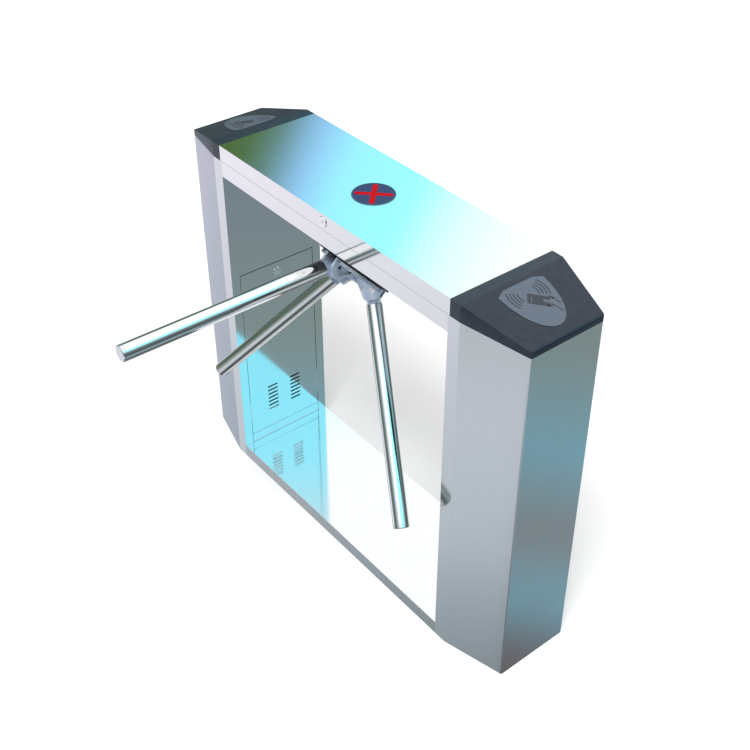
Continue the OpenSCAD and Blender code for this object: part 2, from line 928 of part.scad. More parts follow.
// One reader board on four posts under the slope
module reader_board() {
    under = cap_t * cos(slope_turn);
    middle = plaque_start + plaque_l / 2;
    on_slope() {
        translate([middle - board_l / 2, -board_w / 2, -under - board_drop])
            cube([board_l, board_w, board_t]);
        for (x = [-1, 1], y = [-1, 1])
            translate([
                middle + x * (board_l / 2 - 2 * post_r),
                y * (board_w / 2 - 2 * post_r),
                -under - board_drop
            ])
                cylinder(r = post_r, h = board_drop);
    }
}

module reader_boards() {
    color("darkgreen") for (far = [false, true]) at_end(far) reader_board();
}

// Mechanism

// Places its children on the rotor's axis: z along the axis away from the housing, y up its slope
module on_axis() {
    translate([apex_x, apex_y, apex_z]) rotate([90 + axis_tilt, 0, 0]) children();
}

// Point in the (Y, Z) plane at the distance s along the axis and u up its slope
function axis_point(s, u) =
    [apex_y - s * cos(axis_tilt) - u * sin(axis_tilt), apex_z - s * sin(axis_tilt) + u * cos(axis_tilt)];

// Side view of the housing, drawn in by the distance d
function housing_side(d) =
    let (
        front = wall_front - d,
        low = axis_point(front, d - housing_low),
        rise = (bridge_z - axis_point(front, 0)[1]) / cos(axis_tilt),
        back_y = housing_back - d,
        back_s = (low[0] - back_y) / cos(axis_tilt)
    )
    [
        axis_point(front, rise),
        low,
        [back_y, low[1] - back_s * sin(axis_tilt)],
        [back_y, bridge_z]
    ];

// The wedge-shaped housing under the bridge, open at its top, with a flange round its mouth
module mechanism_housing() {
    x0 = apex_x - housing_half;
    x1 = apex_x + housing_half;
    color("dimgray") difference() {
        union() {
            along_x(x0, x1) polygon(housing_side(0));
            box(
                [x0 - housing_flange, mouth_low[1] - 2 * mouth_margin + sheet_t, bridge_z - housing_t],
                [x1 + housing_flange, housing_back + housing_flange, bridge_z]
            );
        }
        along_x(x0 + housing_t, x1 - housing_t) polygon(housing_side(housing_t));
        along_x(mouth_low[0], mouth_high[0]) polygon([
            [mouth_low[1], bridge_z + cut],
            [mouth_low[1], bridge_z - housing_t],
            axis_point(wall_back, (bridge_z - axis_point(wall_back, 0)[1]) / cos(axis_tilt) - housing_t),
            [housing_back - housing_t, bridge_z - housing_t - cut],
            [mouth_high[1], bridge_z - housing_t],
            [mouth_high[1], bridge_z + cut]
        ]);
        on_axis() translate([0, 0, wall_back - cut])
            cylinder(r = block_r + fixed_fit, h = housing_t + 2 * cut);
        on_axis() for (i = [0:3]) rotate([0, 0, 45 + 90 * i])
            translate([bolt_circle_r, 0, wall_back - cut])
                cylinder(r = bolt_r + fixed_fit, h = housing_t + 2 * cut);
    }
}

// The dark round plate behind the rotor, which covers the front wall and its bolts
module hub_plate() {
    color("black") on_axis() translate([0, 0, wall_front]) difference() {
        cylinder(r = plate_r, h = plate_t);
        translate([0, 0, -cut]) cylinder(r = plate_bore_r, h = plate_t + 2 * cut);
    }
}

// The cast block: a sleeve for both bearings, a front flange and a back plate with the pawl pins
module bearing_block() {
    plate = [
        [-back_plate_half, -back_plate_low],
        [back_plate_half, -back_plate_low],
        [back_plate_half, back_plate_high],
        [-back_plate_half, back_plate_high]
    ];
    color("darkgray") on_axis() difference() {
        union() {
            cylinder(r = block_r, h = wall_front);
            translate([0, 0, wall_back - block_flange_t]) cylinder(r = block_flange_r, h = block_flange_t);
            linear_extrude(back_plate_t) polygon(rounded(plate, [for (c = plate) back_plate_r]));
            for (side = [-1, 1])
                translate([side * pawl_x, pawl_u, -index_w - 2 * pawl_pin_r + pawl_pin_r])
                    cylinder(r = pawl_pin_r, h = index_w + pawl_pin_r + cut);
        }
        translate([0, 0, -cut]) cylinder(r = block_bore_r, h = wall_front + 2 * cut);
        translate([0, 0, -cut]) cylinder(r = bearing_r + fixed_fit, h = bearing_w + cut);
        translate([0, 0, wall_front - bearing_w]) cylinder(r = bearing_r + fixed_fit, h = bearing_w + cut);
        for (i = [0:3]) rotate([0, 0, 45 + 90 * i])
            translate([bolt_circle_r, 0, wall_back - block_flange_t - cut])
                cylinder(r = bolt_r + fixed_fit, h = block_flange_t + 2 * cut);
    }
}

// Bolts that hold the block's flange to the housing's front wall
module block_bolts() {
    color("dimgray") on_axis() for (i = [0:3]) rotate([0, 0, 45 + 90 * i])
        translate([bolt_circle_r, 0, wall_back - block_flange_t - bolt_head_h]) {
            cylinder(r = bolt_head_r, h = bolt_head_h, $fn = 6);
            cylinder(r = bolt_r, h = bolt_head_h + block_flange_t + housing_t);
        }
}

// A sealed ball bearing, with the groove between its races
module bearing() {
    rotate_extrude() polygon([
        [bearing_bore_r, 0],
        [bearing_bore_r + bearing_race, 0],
        [bearing_bore_r + bearing_race, bearing_groove],
        [bearing_r - bearing_race, bearing_groove],
        [bearing_r - bearing_race, 0],
        [bearing_r, 0],
        [bearing_r, bearing_w],
        [bearing_r - bearing_race, bearing_w],
        [bearing_r - bearing_race, bearing_w - bearing_groove],
        [bearing_bore_r + bearing_race, bearing_w - bearing_groove],
        [bearing_bore_r + bearing_race, bearing_w],
        [bearing_bore_r, bearing_w]
    ]);
}

module front_bearing() {
    color("silver") on_axis() translate([0, 0, wall_front - bearing_w]) bearing();
}

module rear_bearing() {
    color("silver") on_axis() bearing();
}

// Rotor

// Side view of a clevis ear: distance from the axis, then distance along it
ear_outline = rounded(
    [
        [ear_foot_rho, disc_back],
        [ear_edge_rho, disc_back],
        [ear_edge_rho, ear_edge_s],
        [ear_brow_rho, ear_brow_s],
        [ear_shoulder_rho, ear_shoulder_s],
        [ear_peak_rho, ear_peak_s],
        [ear_foot_rho, ear_foot_s]
    ],
    [0, 0, ear_corner_r, ear_corner_r, ear_corner_r, ear_corner_r, ear_corner_r]
);

// The cast rotor: disc, middle boss and three clevises, slotted for the arms' tongues
module rotor_hub() {
    front = disc_back + disc_t;
    color("lightsteelblue") on_axis() difference() {
        union() {
            rotate_extrude() polygon([
                [0, disc_back - hub_spigot_l],
                [hub_spigot_r, disc_back - hub_spigot_l],
                [hub_spigot_r, disc_back],
                [disc_r - disc_edge_r, disc_back],
                [disc_r, disc_back + disc_edge_r],
                [disc_r, front - disc_edge_r],
                [disc_r - disc_edge_r, front],
                [boss_r, front],
                [boss_r, boss_front - boss_edge_r],
                [boss_r - boss_edge_r, boss_front],
                [0, boss_front]
            ]);
            for (k = [0:2], side = [0, 1]) rotate([0, 0, 120 * k]) mirror([side, 0, 0])
                along_x(clevis_gap / 2, ear_half) polygon(ear_outline);
        }
        for (k = [0:2]) rotate([0, 0, 120 * k]) {
            box(
                [-clevis_gap / 2, pin_rho - tongue_t / 2 - cut, disc_back - cut],
                [clevis_gap / 2, disc_r + cut, front + cut]
            );
            translate([-ear_half - cut, pin_rho, pin_s]) rotate([0, 90, 0])
                cylinder(r = pin_r + fixed_fit, h = 2 * (ear_half + cut));
        }
        translate([0, 0, disc_back - hub_spigot_l - cut])
            cylinder(r = shaft_r + fixed_fit, h = shaft_end - disc_back + hub_spigot_l + cut);
    }
}

// The main shaft, with a collar between its bearings
module main_shaft() {
    color("silver") on_axis() {
        translate([0, 0, nut_s]) cylinder(r = shaft_r, h = shaft_end - nut_s);
        translate([0, 0, bearing_w + side_play])
            cylinder(
                r = shaft_r + (block_bore_r - shaft_r) / 2,
                h = wall_front - 2 * bearing_w - 2 * side_play
            );
    }
}

module shaft_hole(low, high) {
    translate([0, 0, low - cut]) cylinder(r = shaft_r + fixed_fit, h = high - low + 2 * cut);
}

// The notched wheel that the pawls lock
module index_wheel() {
    color("goldenrod") on_axis() difference() {
        translate([0, 0, index_s]) cylinder(r = index_r, h = index_w);
        shaft_hole(index_s, index_s + index_w);
        for (i = [0:notches - 1]) rotate([0, 0, 360 / notches * i])
            translate([index_r - notch_depth, -notch_w / 2, index_s - cut])
                cube([notch_depth + cut, notch_w, index_w + 2 * cut]);
    }
}

// Point of an involute from the base radius, after unrolling to the radius r
function involute_turn(base, r) =
    let (roll = sqrt(max(r * r / (base * base) - 1, 0))) roll * 180 / PI - atan(roll);

// Outline of a spur gear with involute flanks, thinned a little for running play
function gear_outline(teeth) =
    let (
        pitch = gear_module * teeth / 2,
        base = pitch * cos(gear_turn),
        root = pitch - 1.25 * gear_module,
        tip = pitch + gear_module,
        start = max(base, root),
        half = 90 / teeth - gear_slack / pitch * 180 / PI + involute_turn(base, pitch)
    )
    [
        for (tooth = [0:teeth - 1])
            let (middle = tooth * 360 / teeth)
            each concat(
                [root * [cos(middle - half), sin(middle - half)]],
                [
                    for (i = [0:flank_steps])
                        let (r = start + (tip - start) * i / flank_steps)
                        let (a = middle - half + involute_turn(base, r))
                        r * [cos(a), sin(a)]
                ],
                [
                    for (i = [flank_steps:-1:0])
                        let (r = start + (tip - start) * i / flank_steps)
                        let (a = middle + half - involute_turn(base, r))
                        r * [cos(a), sin(a)]
                ],
                [root * [cos(middle + half), sin(middle + half)]]
            )
    ];

// The gear on the main shaft that drives the damper
module drive_gear() {
    color("goldenrod") on_axis() difference() {
        translate([0, 0, gear_s]) linear_extrude(gear_w) polygon(gear_outline(gear_teeth));
        shaft_hole(gear_s, gear_s + gear_w);
    }
}

// The damper's pinion on its own short shaft
module damper_pinion() {
    color("gold") on_axis() translate([0, -gear_centre, gear_s]) {
        rotate([0, 0, 180 / pinion_teeth]) linear_extrude(gear_w) polygon(gear_outline(pinion_teeth));
        cylinder(r = pinion_shaft_r, h = gear_w + pinion_shaft_l);
    }
}

// The rotary damper, fixed to the block's back plate
module damper_body() {
    color("black") on_axis() translate([0, -gear_centre, -damper_l]) difference() {
        cylinder(r = damper_r, h = damper_l);
        translate([0, 0, -cut])
            cylinder(r = pinion_shaft_r + run_fit, h = damper_l + cut - pinion_shaft_r / 2);
    }
}

// The slotted disc that tells the controller how far the rotor has turned
module sensor_disc() {
    color("whitesmoke") on_axis() difference() {
        translate([0, 0, sensor_s]) cylinder(r = sensor_r, h = sensor_t);
        shaft_hole(sensor_s, sensor_s + sensor_t);
        for (i = [0:notches - 1]) rotate([0, 0, 360 / notches * i])
            translate([sensor_r - notch_depth, -sensor_slot_w / 2, sensor_s - cut])
                cube([notch_depth + cut, sensor_slot_w, sensor_t + 2 * cut]);
    }
}

// The sensor's board on two posts, with its eye over the disc's slots
module sensor_board() {
    color("green") on_axis() {
        translate([sensor_plate_x, sensor_plate_u - sensor_plate_w / 2, sensor_post_s - board_t])
            cube([sensor_plate_l, sensor_plate_w, board_t]);
        for (side = [-1, 1])
            translate([
                sensor_plate_x + 2 * post_r,
                sensor_plate_u + side * (sensor_plate_w / 2 - 2 * post_r),
                sensor_post_s - board_t
            ]) cylinder(r = post_r, h = -sensor_post_s + board_t);
        translate([-sensor_r + notch_depth / 2, 0, sensor_post_s])
            cylinder(r = sensor_eye_r, h = sensor_eye_l);
    }
}

// The nut on the shaft's inner end
module shaft_nut() {
    color("dimgray") on_axis() difference() {
        translate([0, 0, nut_s]) cylinder(r = nut_r, h = nut_w, $fn = 6);
        shaft_hole(nut_s, nut_s + nut_w);
    }
}

// Hollow pins of the three clevises, a little below the faces of the ears
module pivot_pins() {
    reach = ear_half - pin_recess;
    color("silver") on_axis() for (k = [0:2]) rotate([0, 0, 120 * k])
        translate([-reach, pin_rho, pin_s]) rotate([0, 90, 0]) difference() {
            cylinder(r = pin_r, h = 2 * reach);
            translate([0, 0, -cut]) cylinder(r = pin_r - pin_wall, h = 2 * (reach + cut));
        }
}

// Locking pawls and solenoids

// Draws its children on the +X side of the axis, or mirrored to the -X side
module on_side(side) {
    on_axis() mirror([side < 0 ? 1 : 0, 0, 0]) children();
}

// The pawl in its free position, swung out of the wheel's notch
module pawl() {
    thick_s = index_s + (index_w - pawl_w) / 2;
    tail_lean = pawl_swing / 2;
    translate([pawl_x, pawl_u, thick_s]) rotate([0, 0, pawl_swing]) difference() {
        union() {
            linear_extrude(pawl_w) polygon([
                [pawl_nose_x - pawl_x, -pawl_nose_half - pawl_u],
                [pawl_heel_x - pawl_x, -pawl_nose_half * 1.4 - pawl_u],
                [pawl_boss_r * 0.75, 0],
                [-pawl_boss_r * 0.75, 0],
                [pawl_heel_x - pawl_x, pawl_nose_half * 1.4 - pawl_u],
                [pawl_nose_x - pawl_x, pawl_nose_half - pawl_u]
            ]);
            cylinder(r = pawl_boss_r, h = pawl_w);
            rotate([0, 0, -tail_lean]) {
                translate([-link_pin_r * 1.3, 0, 0]) cube([link_pin_r * 2.6, pawl_tail, pawl_w]);
                translate([0, pawl_tail, 0]) cylinder(r = link_pin_r * 1.3, h = pawl_w);
                translate([0, pawl_tail, -link_pin_l]) cylinder(r = link_pin_r, h = link_pin_l + pawl_w);
            }
        }
        translate([0, 0, -cut]) cylinder(r = pawl_pin_r + run_fit, h = pawl_w + 2 * cut);
    }
}

module entry_pawl() {
    color("peru") on_side(1) pawl();
}

module exit_pawl() {
    color("peru") on_side(-1) pawl();
}

// Height of the solenoid's axis, and the link pin's place when the pawl is free
solenoid_u = pawl_u + pawl_tail * cos(pawl_swing / 2);
link_x = pawl_x - pawl_tail * sin(pawl_swing / 2);
link_s = index_s + (index_w - pawl_w) / 2 - link_gap - link_t;
plunger_s = link_s + link_t / 2;

// The solenoid: an iron frame round its coil, bored for the plunger
module solenoid() {
    difference() {
        translate([solenoid_start, solenoid_u - solenoid_w / 2, plunger_s - solenoid_h / 2])
            cube([solenoid_l, solenoid_w, solenoid_h / 2 - plunger_s]);
        translate([solenoid_start + solenoid_l - plunger_in - cut, solenoid_u, plunger_s]) rotate([0, 90, 0])
            cylinder(r = plunger_r + run_fit, h = plunger_in + 2 * cut);
        for (side = [-1, 1])
            translate([
                solenoid_start + solenoid_round,
                solenoid_u + side * (solenoid_w / 2) - solenoid_round / 2,
                plunger_s - solenoid_h / 2 - cut
            ]) cube([solenoid_l - 2 * solenoid_round, solenoid_round, solenoid_h - plunger_s + cut]);
    }
}

module entry_solenoid() {
    color("maroon") on_side(1) solenoid();
}

module exit_solenoid() {
    color("maroon") on_side(-1) solenoid();
}

// The plunger, with a flat end that is slotted for the pawl's link pin
module plunger() {
    from_x = solenoid_start + solenoid_l - plunger_in + link_play;
    difference() {
        union() {
            translate([from_x, solenoid_u, plunger_s]) rotate([0, 90, 0])
                cylinder(r = plunger_r, h = link_x - link_pin_r * 2 - from_x);
            translate([link_x - link_pin_r * 2.4, solenoid_u - link_half, link_s])
                cube([link_pin_r * 4.8, 2 * link_half, link_t]);
        }
        for (side = [-1, 1])
            translate([link_x, solenoid_u + side * link_pin_r / 3, link_s - cut])
                cylinder(r = link_pin_r + link_play, h = link_t + 2 * cut + plunger_r);
    }
}

module entry_plunger() {
    color("silver") on_side(1) plunger();
}

module exit_plunger() {
    color("silver") on_side(-1) plunger();
}

// Arms

// Places its children on one arm: z along the arm from the meeting point, x along its pivot pin
module on_arm(k) {
    on_axis() rotate([0, 0, 120 * k]) rotate([-arm_cone, 0, 0]) children();
}

// The polished tube
module arm_tube() {
    start = pin_reach + tube_start;
    end = arm_reach - tip_l;
    translate([0, 0, start]) difference() {
        cylinder(r = tube_r, h = end - start);
        translate([0, 0, -cut]) cylinder(r = tube_r - tube_t, h = end - start + 2 * cut);
    }
}

// The turned root: a spigot in the tube, a collar, and the flat tongue on the pivot pin
module arm_root() {
    start = pin_reach + tube_start;
    tongue_w = clevis_gap - 2 * side_play;
    difference() {
        union() {
            translate([0, 0, start - collar_l]) cylinder(r = spigot_r, h = spigot_l + collar_l);
            translate([0, 0, start - collar_l]) cylinder(r = tube_r - tip_round, h = collar_l);
            translate([-tongue_w / 2, -tongue_t / 2, pin_reach])
                cube([tongue_w, tongue_t, tube_start - collar_l / 2]);
            translate([-tongue_w / 2, 0, pin_reach]) rotate([0, 90, 0])
                cylinder(r = tongue_t / 2, h = tongue_w);
        }
        translate([-tongue_w, 0, pin_reach]) rotate([0, 90, 0])
            cylinder(r = pin_r + run_fit, h = 2 * tongue_w);
    }
}

// The flat cap that plugs the tube's end
module arm_tip() {
    plug_r = tube_r - tube_t - seat_gap;
    translate([0, 0, arm_reach - tip_l]) rotate_extrude() polygon([
        [0, -tip_plug_l],
        [plug_r, -tip_plug_l],
        [plug_r, 0],
        [tube_r, 0],
        [tube_r, tip_l - tip_round],
        [tube_r - tip_round, tip_l],
        [0, tip_l]
    ]);
}

module level_arm_tube() {
    color("white") on_arm(0) arm_tube();
}

module level_arm_root() {
    color("silver") on_arm(0) arm_root();
}

module level_arm_tip() {
    color("gainsboro") on_arm(0) arm_tip();
}

module far_arm_tube() {
    color("white") on_arm(1) arm_tube();
}

module far_arm_root() {
    color("silver") on_arm(1) arm_root();
}

module far_arm_tip() {
    color("gainsboro") on_arm(1) arm_tip();
}

module near_arm_tube() {
    color("white") on_arm(-1) arm_tube();
}

module near_arm_root() {
    color("silver") on_arm(-1) arm_root();
}

module near_arm_tip() {
    color("gainsboro") on_arm(-1) arm_tip();
}

// Electrical equipment in the legs

// The power supply on the near leg's nose wall, with cooling fins
module power_supply() {
    wall_x = cabinet_l / 2 - sheet_t;
    color("gray") {
        box([wall_x - psu_t, -psu_w / 2, psu_z], [wall_x, psu_w / 2, psu_z + psu_h]);
        for (i = [0:psu_fins - 1])
            translate([
                wall_x - psu_t - psu_fin_h,
                -psu_w / 2 + (psu_w - psu_fin_t) * i / (psu_fins - 1),
                psu_z
            ]) cube([psu_fin_h, psu_fin_t, psu_h]);
    }
}

// The control board on four posts, with its relays, on the far leg's nose wall
module control_board() {
    wall_x = cabinet_l / 2 - sheet_t;
    face_x = wall_x - control_stand - board_t;
    color("seagreen") at_end(true) {
        box([face_x, -control_w / 2, control_z], [face_x + board_t, control_w / 2, control_z + control_h]);
        for (y = [-1, 1], z = [0, 1])
            translate([
                face_x,
                y * (control_w / 2 - 2 * post_r),
                control_z + 2 * post_r + z * (control_h - 4 * post_r)
            ]) rotate([0, 90, 0]) cylinder(r = post_r, h = control_stand + board_t);
        for (i = [0:relays - 1])
            translate([
                face_x - relay_t,
                (i - (relays - 1) / 2) * 1.6 * relay_w - relay_w / 2,
                control_z + control_h / 2
            ]) cube([relay_t, relay_w, relay_h]);
    }
}

base_rail();
near_leg_shell();
far_leg_shell();
near_upper_panel();
far_upper_panel();
near_foot();
far_foot();
bridge_channel();
near_reader_cap();
far_reader_cap();
near_card_plaque();
far_card_plaque();
reader_boards();
mechanism_housing();
hub_plate();
bearing_block();
front_bearing();
rear_bearing();
entry_solenoid();
exit_solenoid();
damper_body();
sensor_board();
power_supply();
control_board();
lid_hinge();
block_bolts();
top_cover();
lid_leaf();
indicator_bezel();
indicator_lens();
indicator_lights();
lid_lock_barrel();
lid_lock_plug();
near_door();
near_lock_barrel();
near_lock_plug();
far_door();
far_lock_barrel();
far_lock_plug();
rotor_hub();
main_shaft();
index_wheel();
drive_gear();
sensor_disc();
shaft_nut();
pivot_pins();
level_arm_tube();
level_arm_root();
level_arm_tip();
far_arm_tube();
far_arm_root();
far_arm_tip();
near_arm_tube();
near_arm_root();
near_arm_tip();
entry_pawl();
exit_pawl();
entry_plunger();
exit_plunger();
damper_pinion();
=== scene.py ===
"""Bridge turnstile with three folding arms: finishes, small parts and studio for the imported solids.

Metres, Z up, origin on the floor under the middle of the cabinet. The arms reach over the -Y side.
"""

import json
import math

import bmesh
import bpy
from mathutils import Matrix, Vector


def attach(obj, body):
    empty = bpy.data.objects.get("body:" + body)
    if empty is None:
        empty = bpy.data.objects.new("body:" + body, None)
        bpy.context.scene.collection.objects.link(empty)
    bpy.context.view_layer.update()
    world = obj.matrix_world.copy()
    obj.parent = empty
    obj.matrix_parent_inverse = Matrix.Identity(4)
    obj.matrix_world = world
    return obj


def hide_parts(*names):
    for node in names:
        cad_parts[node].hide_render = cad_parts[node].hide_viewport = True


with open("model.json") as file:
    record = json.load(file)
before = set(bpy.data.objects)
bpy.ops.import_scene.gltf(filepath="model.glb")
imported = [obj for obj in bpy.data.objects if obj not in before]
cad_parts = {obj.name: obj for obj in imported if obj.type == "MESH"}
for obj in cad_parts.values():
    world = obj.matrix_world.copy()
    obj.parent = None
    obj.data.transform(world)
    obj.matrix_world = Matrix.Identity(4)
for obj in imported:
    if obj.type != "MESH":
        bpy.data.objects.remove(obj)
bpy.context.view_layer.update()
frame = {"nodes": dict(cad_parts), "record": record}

NODES = frame["nodes"]
MM = 0.001


# Camera, at the photograph's place and angle

CAMERA_AT = (1.77757, -1.41250, 2.24884)
CAMERA_RIGHT = (0.632094, 0.774868, 0.005977)
CAMERA_UP = (-0.456095, 0.365799, 0.811276)
SENSOR_WIDTH = 36  # millimetres, as the lens
LENS_LENGTH = 56.07
LENS_SHIFT = (-0.0203, -0.0615)  # shares of the frame
SIGHT = 60  # metres, past the floor's corners


def aim_camera():
    data = bpy.data.cameras.new("camera")
    camera = bpy.data.objects.new("camera", data)
    bpy.context.scene.collection.objects.link(camera)
    right = Vector(CAMERA_RIGHT)
    up = Vector(CAMERA_UP)
    back = right.cross(up)
    turn = Matrix((right, up, back)).transposed()
    camera.matrix_world = Matrix.Translation(CAMERA_AT) @ turn.to_4x4()
    data.sensor_width = SENSOR_WIDTH
    data.lens = LENS_LENGTH
    data.shift_x, data.shift_y = LENS_SHIFT
    data.clip_end = SIGHT
    bpy.context.scene.camera = camera


# Shader node groups, each built once and given its own values in every material

FLOAT, WHOLE, VECTOR = "NodeSocketFloat", "NodeSocketInt", "NodeSocketVector"
POSITION = ("Position", VECTOR, (0, 0, 0))


def new_group(name, inputs, outputs):
    """An empty shader node group with named sockets, all outputs floats, and its two end nodes."""
    tree = bpy.data.node_groups.new(name, "ShaderNodeTree")
    for label, kind, value in inputs:
        tree.interface.new_socket(label, in_out="INPUT", socket_type=kind).default_value = value
    for label in outputs:
        tree.interface.new_socket(label, in_out="OUTPUT", socket_type=FLOAT)
    return tree, tree.nodes.new("NodeGroupInput"), tree.nodes.new("NodeGroupOutput")


def add(tree, kind, **settings):
    """A node with its settings; a key that is an input's name sets that input."""
    node = tree.nodes.new(kind)
    for key, value in settings.items():
        if hasattr(node, key):
            setattr(node, key, value)
        else:
            node.inputs[key.replace("_", " ")].default_value = value
    return node


def spread(tree, source, low, high, to_low=0.0, to_high=1.0):
    """Maps a value's useful range onto another range, held at both ends."""
    node = add(tree, "ShaderNodeMapRange", clamp=True)
    node.inputs["From Min"].default_value = low
    node.inputs["From Max"].default_value = high
    node.inputs["To Min"].default_value = to_low
    node.inputs["To Max"].default_value = to_high
    tree.links.new(source, node.inputs["Value"])
    return node.outputs["Result"]


def times(tree, a, b):
    """Product of two values; b may be a plain number."""
    node = add(tree, "ShaderNodeMath", operation="MULTIPLY")
    tree.links.new(a, node.inputs[0])
    if isinstance(b, (int, float)):
        node.inputs[1].default_value = b
    else:
        tree.links.new(b, node.inputs[1])
    return node.outputs[0]


def plus(tree, a, b, scale_b=1.0):
    """a + b * scale_b, where b may be a plain number."""
    node = add(tree, "ShaderNodeMath", operation="MULTIPLY_ADD")
    if isinstance(b, (int, float)):
        node.inputs[0].default_value = b
    else:
        tree.links.new(b, node.inputs[0])
    node.inputs[1].default_value = scale_b
    tree.links.new(a, node.inputs[2])
    return node.outputs[0]


def texture_at(tree, start, kind="ShaderNodeTexNoise", **settings):
    """A texture at the group's position and scale."""
    node = add(tree, kind, **settings)
    tree.links.new(start.outputs["Position"], node.inputs["Vector"])
    tree.links.new(start.outputs["Scale"], node.inputs["Scale"])
    return node


def make_brushed_grain():
    """Fine lines left by a belt: long along one axis of the sheet and short across it."""
    tree, start, end = new_group(
        "Brushed grain", [POSITION, ("Stretch", VECTOR, (1, 1, 1)), ("Scale", FLOAT, 400)], ["Tone", "Height"]
    )
    stretched = add(tree, "ShaderNodeVectorMath", operation="MULTIPLY")
    tree.links.new(start.outputs["Position"], stretched.inputs[0])
    tree.links.new(start.outputs["Stretch"], stretched.inputs[1])
    lines = add(tree, "ShaderNodeTexNoise", Detail=3.0, Roughness=0.65)
    tree.links.new(stretched.outputs[0], lines.inputs["Vector"])
    tree.links.new(start.outputs["Scale"], lines.inputs["Scale"])
    tree.links.new(spread(tree, lines.outputs["Fac"], 0.3, 0.7), end.inputs["Tone"])
    tree.links.new(lines.outputs["Fac"], end.inputs["Height"])
    return tree


def make_fine_texture():
    """Small pits and bumps, as on moulded plastic, cast metal and powder coat."""
    tree, start, end = new_group("Fine texture", [POSITION, ("Scale", FLOAT, 900)], ["Tone", "Height"])
    grains = texture_at(tree, start, Detail=2.0, Roughness=0.6)
    pits = texture_at(tree, start, "ShaderNodeTexVoronoi", feature="SMOOTH_F1", Smoothness=0.6)
    both = add(tree, "ShaderNodeMath", operation="ADD")
    tree.links.new(grains.outputs["Fac"], both.inputs[0])
    tree.links.new(pits.outputs["Distance"], both.inputs[1])
    tree.links.new(both.outputs[0], end.inputs["Height"])
    tree.links.new(spread(tree, grains.outputs["Fac"], 0.35, 0.65), end.inputs["Tone"])
    return tree


EDGE_POINTINESS = (0.52, 0.62)  # from where an edge starts to take its edge colour, wear and on some finishes a painted highlight, to where it has all of it


def make_worn_and_highlit_edges():
    """The outward edges, broken up by a soft noise: worn where hands and tools rub, and on the hub casting and the cap
    a painted highlight as well.
    """
    tree, start, end = new_group("Worn and highlit edges", [POSITION, ("Scale", FLOAT, 60), ("Amount", FLOAT, 0.5)], ["Mask"])
    shape = add(tree, "ShaderNodeNewGeometry")
    edge = spread(tree, shape.outputs["Pointiness"], *EDGE_POINTINESS)
    patches = texture_at(tree, start, Detail=3.0)
    broken = times(tree, edge, spread(tree, patches.outputs["Fac"], 0.35, 0.6))
    tree.links.new(times(tree, broken, start.outputs["Amount"]), end.inputs["Mask"])
    return tree


def make_smudges():
    """Wide faint patches where hands and cloths have passed."""
    tree, start, end = new_group("Smudges", [POSITION, ("Scale", FLOAT, 6)], ["Mask"])
    wide = texture_at(tree, start, Detail=4.0, Roughness=0.55, Distortion=0.6)
    tree.links.new(spread(tree, wide.outputs["Fac"], 0.4, 0.7), end.inputs["Mask"])
    return tree


GRAIN = make_brushed_grain()
TEXTURE = make_fine_texture()
WEAR_AND_HIGHLIGHT = make_worn_and_highlit_edges()
SMUDGES = make_smudges()


def use_group(tree, group, position, **values):
    node = add(tree, "ShaderNodeGroup", node_tree=group)
    tree.links.new(position, node.inputs["Position"])
    for key, value in values.items():
        node.inputs[key].default_value = value
    return node


def mixed(tree, share, below, above):
    """Colour mix by a mask; each colour is a socket or a plain colour."""
    node = add(tree, "ShaderNodeMix", data_type="RGBA")
    tree.links.new(share, node.inputs["Factor"])
    for label, colour in (("A", below), ("B", above)):
        socket = next(s for s in node.inputs if s.name == label and s.type == "RGBA")
        if isinstance(colour, bpy.types.NodeSocket):
            tree.links.new(colour, socket)
        else:
            socket.default_value = (*colour, 1)
    return next(s for s in node.outputs if s.type == "RGBA")


TONE_IN_GLOSS = 0.3  # how much of a mark's depth in colour shows in the roughness too
SMUDGE_SCALE = 7.0


